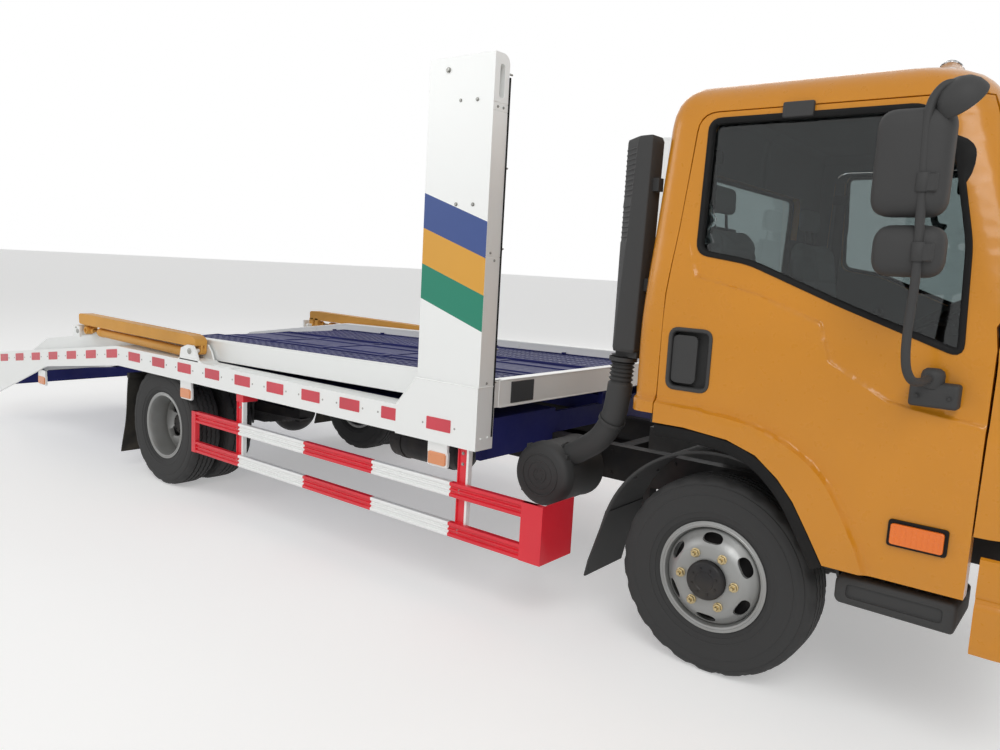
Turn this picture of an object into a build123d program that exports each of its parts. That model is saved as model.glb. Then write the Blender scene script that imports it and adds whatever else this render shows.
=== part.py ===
from build123d import *
import math
import os

os.makedirs("parts", exist_ok=True)

# Car carrier truck, light forward-control cab, two-car body with a lifting upper deck.
# Millimetres. +X forward, +Y left, +Z up. The origin is on the ground under the middle of the
# whole truck. Side outlines are given as (distance ahead of the front axle, height).
FRONT_AXLE_X = 2860.0
WHEELBASE = 3815.0
REAR_AXLE_X = FRONT_AXLE_X - WHEELBASE

# Wheels
TYRE_R = 400.0
HUB_Z = TYRE_R
RIM_R = 203.0
FLANGE_R = 223.0
FRONT_TRACK_Y = 805.0
TWIN_PITCH = 245.0
KINGPIN_Y = 690.0

# Cab
CAB_HALF_W = 985.0
CAB_BACK = -360.0
CAB_FRONT = 1060.0
BELT_Z = 1400.0
EAVES_Z = 2150.0
EAVES_HALF_W = 905.0
GLASS_DEPTH = 24.0
GLASS_T = 5.0
ROOF_Z = 2315.0
ROOF_SPLIT_Z = 2195.0
CAB_WALL = 55.0
GAP = 5.0
SILL_Z = 605.0
CAB_FRONT_LOW = 815.0
BACK_LOW = 1035.0
FLOOR_Z = 980.0
CAB_PIVOT = (995.0, 750.0)

# Ladder frame and bed
RAIL_Y = 375.0
RAIL_W = 70.0
RAIL_LOW = 560.0
RAIL_TOP = 730.0
RAIL_END = -4700.0
BED_HALF_W = 1120.0
SKIRT_T = 20.0
BED_EDGE_W = 120.0
REAR_OUTER_Y = BED_HALF_W - 148.0
REAR_INNER_Y = REAR_OUTER_Y - TWIN_PITCH
BEAM_LOW = 750.0
BEAM_TOP = 885.0
BED_FLOOR_TOP = 862.0
BED_BEND = -4330.0
BED_SLOPE = 0.127
BED_TAIL = -6750.0
COLUMN_FRONT = -1050.0
COLUMN_BACK = -1430.0
COLUMN_TOP = 2470.0
COLUMN_T = 100.0
BASE_TOP = 1033.0
TAIL_BEAM_LOW = 472.0
GUARD_BAR_TOP = 390.0

# Upper deck
DECK_FRONT = -1070.0
DECK_TAIL = -6030.0
DECK_HALF_W = BED_HALF_W - 130.0
DECK_RAIL_W = 60.0
DECK_RAIL_TOP = 1052.0
DECK_RAIL_H = 125.0
DECK_LEAN = 0.0174

# Lift arms
ARM_PIVOT = (-3400.0, 948.0)
ARM_END = (-4910.0, 936.0)
CYL_PIVOT = (-3434.0, 923.0)
ROD_EYE = (-4838.0, 948.0)
ROD_PIN_R = 8.0
ROD_DRIFT = 5.5
ARM_Y0 = BED_HALF_W - 102.0
ARM_Y1 = BED_HALF_W - 62.0
ARM_OUT = BED_HALF_W - SKIRT_T
CYL_Y = BED_HALF_W - 60.0
EYE_Y0 = CYL_Y + 6.0
EYE_Y1 = CYL_Y + 38.0

# Ramps in the tail
RAMP_DROP = 97.0
RAMP_H = 56.0
RAMP_FRONT = -5680.0
RAMP_BACK = -6810.0
RAMP_IN = 462.0
RAMP_OUT = BED_HALF_W - 66.0


def block(x0, x1, y0, y1, z0, z1, mode=Mode.ADD):
    """Box between two corners; x is counted from the front axle."""
    middle = ((x0 + x1) / 2 + FRONT_AXLE_X, (y0 + y1) / 2, (z0 + z1) / 2)
    with Locations(middle):
        Box(abs(x1 - x0), abs(y1 - y0), abs(z1 - z0), mode=mode)


def side_plate(points, y0, y1, mode=Mode.ADD, round_r=0.0):
    """Outline in side view, given a width from y0 to y1."""
    with BuildSketch(Plane.XZ.offset(-y0)) as outline:
        with BuildLine():
            Polyline(*[(x + FRONT_AXLE_X, z) for x, z in points], close=True)
        make_face()
        if round_r:
            fillet(outline.vertices(), round_r)
    extrude(outline.sketch, amount=y0 - y1, mode=mode)


def bar_y(x, z, radius, y0, y1, mode=Mode.ADD):
    """Round bar along Y."""
    with Locations((x + FRONT_AXLE_X, (y0 + y1) / 2, z)):
        Cylinder(radius, abs(y1 - y0), rotation=(90, 0, 0), mode=mode)


def bar_z(x, y, radius, z0, z1, mode=Mode.ADD):
    """Round bar along Z."""
    with Locations((x + FRONT_AXLE_X, y, (z0 + z1) / 2)):
        Cylinder(radius, abs(z1 - z0), mode=mode)


def bar_x(y, z, radius, x0, x1, mode=Mode.ADD):
    """Round bar along X."""
    with Locations(((x0 + x1) / 2 + FRONT_AXLE_X, y, z)):
        Cylinder(radius, abs(x1 - x0), rotation=(0, 90, 0), mode=mode)


def ring_y(x, z, profile, y0, mode=Mode.ADD):
    """Profile of (offset along Y from y0, radius), turned about an axle at x, z."""
    with BuildSketch(Plane.YZ.offset(x + FRONT_AXLE_X)) as section:
        with BuildLine():
            Polyline(*[(y0 + along, z + radius) for along, radius in profile], close=True)
        make_face()
    axle = Axis((x + FRONT_AXLE_X, y0, z), (0, 1, 0))
    revolve(section.sketch, axis=axle, mode=mode)


# Cab sections: height, front, back, half width, front corner radius, back corner radius
CAB_SECTIONS = [
    (560.0, CAB_FRONT - 15.0, CAB_BACK, CAB_HALF_W, 150.0, 70.0),
    (BELT_Z, CAB_FRONT - 20.0, CAB_BACK, CAB_HALF_W, 150.0, 70.0),
    (EAVES_Z, 800.0, CAB_BACK + 25.0, EAVES_HALF_W, 150.0, 70.0),
    (2260.0, 731.0, CAB_BACK + 50.0, 867.0, 150.0, 70.0),
    (ROOF_Z, 560.0, CAB_BACK + 150.0, 740.0, 150.0, 70.0),
]


def cab_solid(inset, mode=Mode.ADD):
    """Cab body drawn in from its skin on all sides by inset."""
    faces = []
    for height, front, back, half_w, front_r, back_r in CAB_SECTIONS:
        top_drop = inset if height == ROOF_Z else 0.0
        x0 = back + inset + FRONT_AXLE_X
        x1 = front - inset + FRONT_AXLE_X
        y1 = half_w - inset
        rf = front_r - inset
        rb = max(back_r - inset, 8.0)
        corners = [(x0, -y1), (x1, -y1), (x1, y1), (x0, y1)]
        with BuildSketch(Plane.XY.offset(height - top_drop)) as section:
            with BuildLine():
                Polyline(*corners, close=True)
            make_face()
            fillet(section.vertices().sort_by(Axis.X)[-2:], rf)
            fillet(section.vertices().group_by(Axis.X)[0], rb)
        faces.append(section.sketch.face())
    loft(faces, ruled=True, mode=mode)


DOOR_BACK_LINE = [(-245.0, 1000.0), (-245.0, 1500.0), (-200.0, 2190.0)]
DOOR_FRONT_LINE = [(700.0, 2190.0), (800.0, 1890.0), (875.0, 1400.0), (875.0, SILL_Z)]
ARCH_LINE = [
    (445.0, SILL_Z),
    (389.0, 700.0),
    (324.0, 805.0),
    (262.0, 876.0),
    (174.0, 945.0),
    (62.0, 983.0),
    (-116.0, 1000.0),
]
DOOR_WINDOW = [
    (-160.0, 2165.0),
    (-145.0, 1662.0),
    (60.0, 1632.0),
    (400.0, 1502.0),
    (785.0, 1368.0),
    (765.0, 1720.0),
    (690.0, 2040.0),
    (580.0, 2165.0),
]

# Cab roof
with BuildPart() as cab_roof:
    cab_solid(0.0)
    cab_solid(CAB_WALL, mode=Mode.SUBTRACT)
    block(-500, 1200, -1100, 1100, 400, ROOF_SPLIT_Z, mode=Mode.SUBTRACT)
cab_roof.part.label = "cab_roof"

# Back wall with the pillars behind the doors and its window opening
with BuildPart() as cab_back:
    cab_solid(0.0)
    cab_solid(CAB_WALL, mode=Mode.SUBTRACT)
    block(-500, 1200, -1100, 1100, ROOF_SPLIT_Z, 2500, mode=Mode.SUBTRACT)
    block(-500, 1200, -1100, 1100, 400, BACK_LOW, mode=Mode.SUBTRACT)
    side_plate(
        [(-245 - GAP, 1000), (-245 - GAP, 1500), (-200 - GAP, 2200), (1200, 2200), (1200, 1000)],
        -1100,
        1100,
        mode=Mode.SUBTRACT,
    )
    block(-400, -250, -560, 560, 1560, 2010, mode=Mode.SUBTRACT)
cab_back.part.label = "cab_back"

# Front wall with the windscreen pillars and the windscreen opening
with BuildPart() as cab_front:
    cab_solid(0.0)
    cab_solid(CAB_WALL, mode=Mode.SUBTRACT)
    block(-500, 1200, -1100, 1100, ROOF_SPLIT_Z, 2500, mode=Mode.SUBTRACT)
    block(-500, 1200, -1100, 1100, 400, CAB_FRONT_LOW, mode=Mode.SUBTRACT)
    side_plate(
        [(-500, 2200), (700 + GAP, 2200), (700 + GAP, 2190), (800 + GAP, 1890), (875 + GAP, 1400)]
        + [(875 + GAP, 700), (-500, 700)],
        -1100,
        1100,
        mode=Mode.SUBTRACT,
    )
    with BuildSketch(Plane.YZ.offset(FRONT_AXLE_X + 600)) as screen:
        with BuildLine():
            Polyline((-850, 1450), (850, 1450), (770, 2130), (-770, 2130), close=True)
        make_face()
        fillet(screen.vertices(), 60)
    extrude(amount=600, mode=Mode.SUBTRACT)
cab_front.part.label = "cab_front"

# Floor pan with the raised engine cover
with BuildPart() as cab_floor:
    cab_solid(CAB_WALL + 1.0)
    block(-500, 1200, -1100, 1100, 400, FLOOR_Z, mode=Mode.SUBTRACT)
    block(-500, 1200, -1100, 1100, FLOOR_Z + 50, 2500, mode=Mode.SUBTRACT)
    block(-280, 520, -300, 300, FLOOR_Z + 45, 1190)
    block(-250, 490, -270, 270, FLOOR_Z - 5, 1160, mode=Mode.SUBTRACT)
    for side in (-1, 1):
        block(CAB_PIVOT[0] - 25, CAB_PIVOT[0] - 15, side * 345, side * 372, CAB_PIVOT[1], FLOOR_Z + 5)
        block(CAB_PIVOT[0] - 25, CAB_PIVOT[0] + 25, side * 345, side * 372, 725, 800)
        bar_y(CAB_PIVOT[0], CAB_PIVOT[1], 14.2, side * 335, side * 378, mode=Mode.SUBTRACT)
cab_floor.part.label = "cab_floor"

# Windscreen and back window
with BuildPart() as cab_glass:
    cab_solid(22.0)
    cab_solid(28.0, mode=Mode.SUBTRACT)
    with BuildSketch(Plane.YZ.offset(FRONT_AXLE_X - 700)) as panes:
        with BuildLine():
            Polyline((-849.5, 1450.5), (849.5, 1450.5), (769.5, 2129.5), (-769.5, 2129.5), close=True)
        make_face()
        fillet(panes.vertices(), 60)
    extrude(amount=2200, mode=Mode.INTERSECT)
    block(-700, 500, -1100, -559.5, 1400, 2300, mode=Mode.SUBTRACT)
    block(-700, 500, 559.5, 1100, 1400, 2300, mode=Mode.SUBTRACT)
    block(-700, 500, -1100, 1100, 1400, 1560.5, mode=Mode.SUBTRACT)
    block(-700, 500, -1100, 1100, 2009.5, 2300, mode=Mode.SUBTRACT)
cab_glass.part.label = "cab_glass"

DOOR_OUTLINE = DOOR_FRONT_LINE + ARCH_LINE + DOOR_BACK_LINE



def door(side):
    """Door as thick as the cab's wall, with its window opening; side is -1 for the right."""
    cab_solid(0.0)
    cab_solid(CAB_WALL, mode=Mode.SUBTRACT)
    side_plate(DOOR_WINDOW, side * 700, side * 1100, mode=Mode.SUBTRACT, round_r=38)
    side_plate(DOOR_OUTLINE, side * 700, side * 1100, mode=Mode.INTERSECT)


def door_glass(side):
    """Flat pane inside the window opening of a door, leaning in with the cab's side."""
    with BuildSketch(Plane.XZ.offset(-side * 700)) as pane:
        with BuildLine():
            Polyline(*[(x + FRONT_AXLE_X, z) for x, z in DOOR_WINDOW], close=True)
        make_face()
        fillet(pane.vertices(), 38)
        offset(amount=-0.4, mode=Mode.REPLACE)
    extrude(pane.sketch, amount=-side * 400)
    low, high = 1300.0, 2250.0
    slope = (CAB_HALF_W - EAVES_HALF_W) / (EAVES_Z - BELT_Z)
    y_low = CAB_HALF_W - GLASS_DEPTH + (BELT_Z - low) * slope
    y_high = CAB_HALF_W - GLASS_DEPTH + (BELT_Z - high) * slope
    with BuildSketch(Plane.YZ.offset(FRONT_AXLE_X - 400)) as lean:
        with BuildLine():
            Polyline(
                (side * y_low, low),
                (side * y_high, high),
                (side * (y_high - GLASS_T), high),
                (side * (y_low - GLASS_T), low),
                close=True,
            )
        make_face()
    extrude(lean.sketch, amount=1400, mode=Mode.INTERSECT)


with BuildPart() as right_door:
    door(-1)
right_door.part.label = "right_door"

with BuildPart() as left_door:
    door(1)
left_door.part.label = "left_door"

with BuildPart() as right_door_glass:
    door_glass(-1)
right_door_glass.part.label = "right_door_glass"

with BuildPart() as left_door_glass:
    door_glass(1)
left_door_glass.part.label = "left_door_glass"

# Mirror arm, mirror heads, handle and side lamp of the right door, on its skin
MIRROR_X = 645.0
MIRROR_Y = 1150.0
with BuildPart() as right_door_fittings:
    block(610, 740, -1035, -CAB_HALF_W, 1190, 1285)
    bar_y(MIRROR_X, 1262, 20, -MIRROR_Y, -1030)
    bar_z(MIRROR_X, -MIRROR_Y, 13, 1262, 2180)
    for x0, x1, z0, z1 in ((520, 730, 1785, 2090), (530, 735, 1610, 1760)):
        head = [(x0, z0), (x1, z0), (x1, z1), (x0, z1)]
        side_plate(head, -1200, -1142, round_r=45)
        side_plate([(x0 + 8, z0 + 8), (x1 - 8, z0 + 8), (x1 - 8, z1 - 8), (x0 + 8, z1 - 8)], -1222, -1199, round_r=40)
        side_plate([(x0 + 24, z0 + 24), (x1 - 24, z0 + 24), (x1 - 24, z1 - 24), (x0 + 24, z1 - 24)], -1235, -1221, round_r=30)
    with Locations((700 + FRONT_AXLE_X, -MIRROR_Y, 2130)):
        Sphere(78)
right_door_fittings.part.label = "right_door_fittings"

with BuildPart() as left_door_fittings:
    add(mirror(right_door_fittings.part, about=Plane.XZ))
left_door_fittings.part.label = "left_door_fittings"

# Head lamps let into the front corners and the beacon on the roof
with BuildPart() as cab_lamps:
    for side in (-1, 1):
        block(CAB_FRONT - 40, CAB_FRONT - 2, side * 520, side * 830, 850, 1010)
    cab_solid(0.0, mode=Mode.SUBTRACT)
    bar_z(460, 0, 80, ROOF_Z, ROOF_Z + 205)
cab_lamps.part.label = "cab_lamps"

# Seats: cushion, back and head rest for the driver and two passengers
with BuildPart() as seats:
    for y0, y1 in ((310.0, 840.0), (-840.0, -310.0)):
        block(-200, 330, y0, y1, FLOOR_Z + 50, 1330)
        side_plate([(-210, 1300), (-90, 1300), (-170, 1820), (-270, 1820)], y0, y1)
        side_plate([(-262, 1810), (-190, 1810), (-205, 1980), (-270, 1980)], y0 + 130, y1 - 130)
seats.part.label = "seats"

# Dashboard across the cab with the steering column
WHEEL_AT = (470.0, 560.0, 1470.0)
WHEEL_LEAN = 32.0
COLUMN_REACH = 190.0
with BuildPart() as dashboard:
    turn = math.radians(WHEEL_LEAN)
    reach_x = WHEEL_AT[0] + COLUMN_REACH * math.sin(turn) + FRONT_AXLE_X
    reach_z = WHEEL_AT[2] - COLUMN_REACH * math.cos(turn)
    with Locations(Location((reach_x, WHEEL_AT[1], reach_z), (0, -WHEEL_LEAN, 0))):
        Cylinder(28, 2 * COLUMN_REACH - 40)
    side_plate([(640, 1180), (640, 1400), (900, 1440), (970, 1380), (970, 1180)], -900, 900)
    cab_solid(CAB_WALL + 1.0, mode=Mode.INTERSECT)
dashboard.part.label = "dashboard"

# Steering wheel
with BuildPart() as steering_wheel:
    place = Location((WHEEL_AT[0] + FRONT_AXLE_X, WHEEL_AT[1], WHEEL_AT[2]), (0, -WHEEL_LEAN, 0))
    with Locations(place):
        Torus(205, 16)
        Cylinder(45, 30)
        Box(400, 34, 14)
        Box(34, 400, 14)
steering_wheel.part.label = "steering_wheel"

# Intake stack on the back of the cab
with BuildPart() as intake_stack:
    block(-550, CAB_BACK - 40, -930, -820, 1260, 2130)
    for low in (1500.0, 1900.0):
        block(-500, CAB_BACK + 40, -900, -850, low, low + 60)
    cab_solid(0.0, mode=Mode.SUBTRACT)
intake_stack.part.label = "intake_stack"

# Air cleaner drum with its duct, carried by the frame
with BuildPart() as air_cleaner:
    bar_y(-850, 643, 150, -900, -560)
    block(-560, -450, -930, -820, 900, 1240)
    side_plate([(-560, 900), (-450, 900), (-700, 650), (-800, 740)], -920, -830)
    block(-880, -820, -560, -RAIL_Y - RAIL_W / 2, 600, 690)
air_cleaner.part.label = "air_cleaner"

# Ladder frame: two channel rails and cross members
with BuildPart() as chassis_frame:
    for side in (-1, 1):
        y_in = side * (RAIL_Y - RAIL_W / 2)
        y_out = side * (RAIL_Y + RAIL_W / 2)
        block(RAIL_END, 960, y_in, y_out, RAIL_LOW, RAIL_TOP)
        y_web = side * (RAIL_Y + RAIL_W / 2 - 8)
        block(RAIL_END - 10, 970, y_in - side * 10, y_web, RAIL_LOW + 8, RAIL_TOP - 8, mode=Mode.SUBTRACT)
        block(890, 1015, side * 380, side * 400, 640, 775)
        bar_y(CAB_PIVOT[0], CAB_PIVOT[1], 14, side * 340, side * 390)
    for x in (870.0, -760.0, -1500.0, -2600.0, -3250.0, -4350.0, -4660.0):
        block(x - 35, x + 35, -RAIL_Y - 28, RAIL_Y + 28, RAIL_LOW + 80, RAIL_TOP - 18)
chassis_frame.part.label = "chassis_frame"

# Engine as one plain block with the gearbox, radiator and propeller shaft
with BuildPart() as engine:
    block(-250, 560, -250, 250, 560, 950)
    block(-700, -240, -150, 150, 540, 800)
    block(620, 700, -300, 300, 560, 950)
    block(555, 625, -60, 60, 700, 800)
    bar_x(0, 560, 40, -WHEELBASE + 170, -690)
    for side in (-1, 1):
        block(100, 180, side * 240, side * (RAIL_Y + RAIL_W / 2 - 8), RAIL_LOW + 8, RAIL_LOW + 40)
engine.part.label = "engine"

# Axles with their leaf springs
with BuildPart() as axles:
    block(-35, 35, -640, 640, 330, 410)
    for side in (-1, 1):
        bar_z(0, side * KINGPIN_Y, 32, 335, 465)
        block(-30, 30, side * 600, side * 680, 340, 460)
        block(-560, 560, side * 340, side * 410, 405, 470)
        block(-600, -540, side * 340, side * 410, 430, RAIL_LOW)
        block(540, 600, side * 340, side * 410, 430, RAIL_LOW)
        bar_z(0, side * KINGPIN_Y, 14.1, 300, 500, mode=Mode.SUBTRACT)
        bar_y(-WHEELBASE, HUB_Z, 45, side * 10, side * (REAR_OUTER_Y - 42))
        block(-WHEELBASE - 650, -WHEELBASE + 600, side * 340, side * 410, 440, 520)
        block(-WHEELBASE - 650, -WHEELBASE - 590, side * 340, side * 410, 480, RAIL_LOW)
        block(-WHEELBASE + 540, -WHEELBASE + 600, side * 340, side * 410, 480, RAIL_LOW)
    with Locations((REAR_AXLE_X, 0, HUB_Z)):
        Sphere(165)
    bar_x(0, 560, 42, -WHEELBASE - 10, -WHEELBASE + 180, mode=Mode.SUBTRACT)
axles.part.label = "axles"

# Steering knuckle: fork on the kingpin, pin and spindle
with BuildPart() as right_knuckle:
    bar_z(0, -KINGPIN_Y, 32, 466, 500)
    bar_z(0, -KINGPIN_Y, 32, 300, 334)
    bar_z(0, -KINGPIN_Y, 14, 300, 500)
    block(-32, 32, -KINGPIN_Y - 62, -KINGPIN_Y - 36, 300, 500)
    block(-32, 32, -KINGPIN_Y - 50, -KINGPIN_Y, 466, 500)
    block(-32, 32, -KINGPIN_Y - 50, -KINGPIN_Y, 300, 334)
    bar_y(0, HUB_Z, 150, -KINGPIN_Y - 68, -KINGPIN_Y - 58)
    bar_y(0, HUB_Z, 25, -900, -KINGPIN_Y - 50)
right_knuckle.part.label = "right_knuckle"

with BuildPart() as left_knuckle:
    add(mirror(right_knuckle.part, about=Plane.XZ))
left_knuckle.part.label = "left_knuckle"

# Tyre section: offset from the middle, radius
TYRE_SECTION = [
    (-75.0, RIM_R + 0.4),
    (75.0, RIM_R + 0.4),
    (75.0, FLANGE_R),
    (94.0, 250.0),
    (102.5, 305.0),
    (98.0, 352.0),
    (84.0, 388.0),
    (62.0, TYRE_R),
    (-62.0, TYRE_R),
    (-84.0, 388.0),
    (-98.0, 352.0),
    (-102.5, 305.0),
    (-94.0, 250.0),
    (-75.0, FLANGE_R),
]

with BuildPart() as front_right_tyre:
    ring_y(0, HUB_Z, TYRE_SECTION, -FRONT_TRACK_Y)
front_right_tyre.part.label = "front_right_tyre"

with BuildPart() as front_left_tyre:
    ring_y(0, HUB_Z, TYRE_SECTION, FRONT_TRACK_Y)
front_left_tyre.part.label = "front_left_tyre"

with BuildPart() as rear_right_tyres:
    ring_y(-WHEELBASE, HUB_Z, TYRE_SECTION, -REAR_OUTER_Y)
    ring_y(-WHEELBASE, HUB_Z, TYRE_SECTION, -REAR_INNER_Y)
rear_right_tyres.part.label = "rear_right_tyres"

with BuildPart() as rear_left_tyres:
    ring_y(-WHEELBASE, HUB_Z, TYRE_SECTION, REAR_OUTER_Y)
    ring_y(-WHEELBASE, HUB_Z, TYRE_SECTION, REAR_INNER_Y)
rear_left_tyres.part.label = "rear_left_tyres"

# Rim section: offset outboard from the middle, radius
RIM_SECTION = [
    (-86.0, FLANGE_R),
    (-76.0, FLANGE_R),
    (-76.0, RIM_R),
    (76.0, RIM_R),
    (76.0, FLANGE_R),
    (86.0, FLANGE_R),
    (86.0, RIM_R - 9),
    (-86.0, RIM_R - 9),
]
# Disc section: offset outboard from the middle of its rim, radius
DISC_SECTION = [
    (50.0, RIM_R - 5),
    (62.0, RIM_R - 5),
    (110.0, 150.0),
    (122.0, 120.0),
    (122.0, 26.0),
    (110.0, 26.0),
    (110.0, 115.0),
    (98.0, 145.0),
]


def disc_wheel(x, y0, side, hub_to, bore):
    """Rim and vented disc; side is +1 where the disc bulges towards +Y."""
    ring_y(x, HUB_Z, [(side * along, radius) for along, radius in RIM_SECTION], y0)
    ring_y(x, HUB_Z, [(side * along, radius) for along, radius in DISC_SECTION], y0)
    bar_y(x, HUB_Z, 75, y0 + side * 60, y0 + side * hub_to)
    with Locations(Location((x + FRONT_AXLE_X, y0, HUB_Z), (90, 0, 0))):
        with PolarLocations(162, 6, start_angle=30):
            Box(28, 62, 400, mode=Mode.SUBTRACT)
    bar_y(x, HUB_Z, bore, y0 - side * 90, y0 + side * 100, mode=Mode.SUBTRACT)


with BuildPart() as front_right_rim:
    disc_wheel(0, -FRONT_TRACK_Y, -1, 152, 25.1)
front_right_rim.part.label = "front_right_rim"

with BuildPart() as front_left_rim:
    disc_wheel(0, FRONT_TRACK_Y, 1, 152, 25.1)
front_left_rim.part.label = "front_left_rim"


def dual_wheel(side):
    """Two rims back to back on one hub; side is -1 for the right."""
    for y0, bulge in ((side * REAR_OUTER_Y, -side), (side * REAR_INNER_Y, side)):
        for section in (RIM_SECTION, DISC_SECTION):
            profile = [(bulge * along, radius) for along, radius in section]
            ring_y(-WHEELBASE, HUB_Z, profile, y0)
    bar_y(-WHEELBASE, HUB_Z, 75, side * (REAR_OUTER_Y - 172), side * (REAR_OUTER_Y - 12))
    with Locations(Location((REAR_AXLE_X, side * REAR_OUTER_Y, HUB_Z), (90, 0, 0))):
        with PolarLocations(162, 6, start_angle=30):
            Box(28, 62, 700, mode=Mode.SUBTRACT)
    bar_y(-WHEELBASE, HUB_Z, 45.1, side * (REAR_INNER_Y - 127), side * (REAR_OUTER_Y - 32), mode=Mode.SUBTRACT)


with BuildPart() as rear_right_rims:
    dual_wheel(-1)
rear_right_rims.part.label = "rear_right_rims"

with BuildPart() as rear_left_rims:
    dual_wheel(1)
rear_left_rims.part.label = "rear_left_rims"

# Bumper wrapped round the front corners
with BuildPart() as bumper:
    with BuildSketch(Plane.XY.offset(430)) as plan:
        with BuildLine():
            Polyline(
                (FRONT_AXLE_X + 907, -1000),
                (FRONT_AXLE_X + 1100, -1000),
                (FRONT_AXLE_X + 1100, 1000),
                (FRONT_AXLE_X + 907, 1000),
                close=True,
            )
        make_face()
        fillet(plan.vertices().group_by(Axis.X)[-1], 120)
    extrude(amount=325)
    with BuildSketch(Plane.XY.offset(400)) as hollow:
        with BuildLine():
            Polyline(
                (FRONT_AXLE_X + 800, -962),
                (FRONT_AXLE_X + 1072, -962),
                (FRONT_AXLE_X + 1072, 962),
                (FRONT_AXLE_X + 800, 962),
                close=True,
            )
        make_face()
        fillet(hollow.vertices().group_by(Axis.X)[-1], 85)
    extrude(amount=400, mode=Mode.SUBTRACT)
    for side in (-1, 1):
        block(960, 1080, side * 345, side * 380, 650, 700)
bumper.part.label = "bumper"

# Front wheel liners with the entry steps, and the flaps behind the rear wheels
FLAP_X = -WHEELBASE - 415
with BuildPart() as mudguards:
    for side in (-1, 1):
        with Locations((FRONT_AXLE_X, side * 760, HUB_Z)):
            Cylinder(508, 320, rotation=(90, 0, 0))
            Cylinder(500, 330, rotation=(90, 0, 0), mode=Mode.SUBTRACT)
    block(-600, 600, -1000, 1000, -200, 535, mode=Mode.SUBTRACT)
    for side in (-1, 1):
        block(480, 860, side * 700, side * 965, 465, 575)
        block(560, 640, side * 410, side * 705, 500, 560)
        block(-30, 30, side * 300, side * 605, 880, 906)
        flap = [(FLAP_X, 700), (FLAP_X + 20, 700), (FLAP_X - 30, 130), (FLAP_X - 50, 130)]
        side_plate(flap, side * 620, side * (BED_HALF_W - 30))
        block(FLAP_X - 10, FLAP_X + 70, side * 410, side * 700, 680, 700)
mudguards.part.label = "mudguards"

# Fuel tank on the left of the frame
with BuildPart() as fuel_tank:
    block(-2150, -1450, 430, 830, 360, 700)
    fillet(fuel_tank.edges().filter_by(Axis.X), 60)
    for x in (-2000.0, -1600.0):
        block(x - 30, x + 30, RAIL_Y + RAIL_W / 2, 440, 600, 700)
fuel_tank.part.label = "fuel_tank"


def bed_z(x, level):
    """Height of a line that follows the bed at this level and bends down with its tail."""
    return level + min(0.0, (x - BED_BEND) * BED_SLOPE)


# Guides that carry the ramps under the cross members: place along the bed, drop below its floor
RAMP_LOW = RAMP_DROP + RAMP_H + 2
GUIDE_WEB = [(-5640, 76), (BED_TAIL + 10, 76), (BED_TAIL + 10, RAMP_LOW + 8), (-5640, RAMP_LOW + 8)]
GUIDE_LEDGE = [(-5640, RAMP_LOW), (BED_TAIL + 10, RAMP_LOW), (BED_TAIL + 10, RAMP_LOW + 8), (-5640, RAMP_LOW + 8)]

# Bed frame: runners on the ladder frame, cross members and the two wheel tracks
TRACK_END = BED_TAIL + 62
TRACK_OUT = BED_HALF_W - BED_EDGE_W - 1
with BuildPart() as bed_frame:
    runner = [
        (-1150, 835),
        (BED_BEND, 835),
        (TRACK_END, bed_z(TRACK_END, 835)),
        (TRACK_END, bed_z(TRACK_END, 835) - 100),
        (RAIL_END, RAIL_TOP),
        (-1150, RAIL_TOP),
    ]
    track = [
        (-1120, BED_FLOOR_TOP),
        (BED_BEND, BED_FLOOR_TOP),
        (TRACK_END, bed_z(TRACK_END, BED_FLOOR_TOP)),
        (TRACK_END, bed_z(TRACK_END, BED_FLOOR_TOP) - 40),
        (BED_BEND, BED_FLOOR_TOP - 40),
        (-1120, BED_FLOOR_TOP - 40),
    ]
    for side in (-1, 1):
        side_plate(runner, side * 340, side * 410)
        side_plate(track, side * 400, side * TRACK_OUT)
        block(-1150, -1120, side * 415, side * TRACK_OUT, 670, 840)
    block(-1150, -1120, -900, 900, RAIL_TOP, 840)
    for x in (-1750.0, -2300.0, -2850.0, -3320.0, -4290.0, -5000.0, -5700.0, -6400.0):
        z = bed_z(x, BED_FLOOR_TOP)
        block(x - 40, x + 40, -ARM_OUT, ARM_OUT, z - 80, z - 20)
    block(BED_TAIL, TRACK_END, -ARM_OUT, ARM_OUT, TAIL_BEAM_LOW, 550)
    block(BED_TAIL, TRACK_END, -ARM_OUT, ARM_OUT, GUARD_BAR_TOP - 105, GUARD_BAR_TOP)
    for side in (-1, 1):
        for y0, y1, lip in (
            (RAMP_IN - 14, RAMP_IN - 6, RAMP_IN + 20),
            (RAMP_OUT + 14, RAMP_OUT + 6, RAMP_OUT - 20),
        ):
            guide = [(x, bed_z(x, BED_FLOOR_TOP - drop)) for x, drop in GUIDE_WEB]
            side_plate(guide, side * y0, side * y1)
            ledge = [(x, bed_z(x, BED_FLOOR_TOP - drop)) for x, drop in GUIDE_LEDGE]
            side_plate(ledge, side * y0, side * lip)
bed_frame.part.label = "bed_frame"

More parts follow.
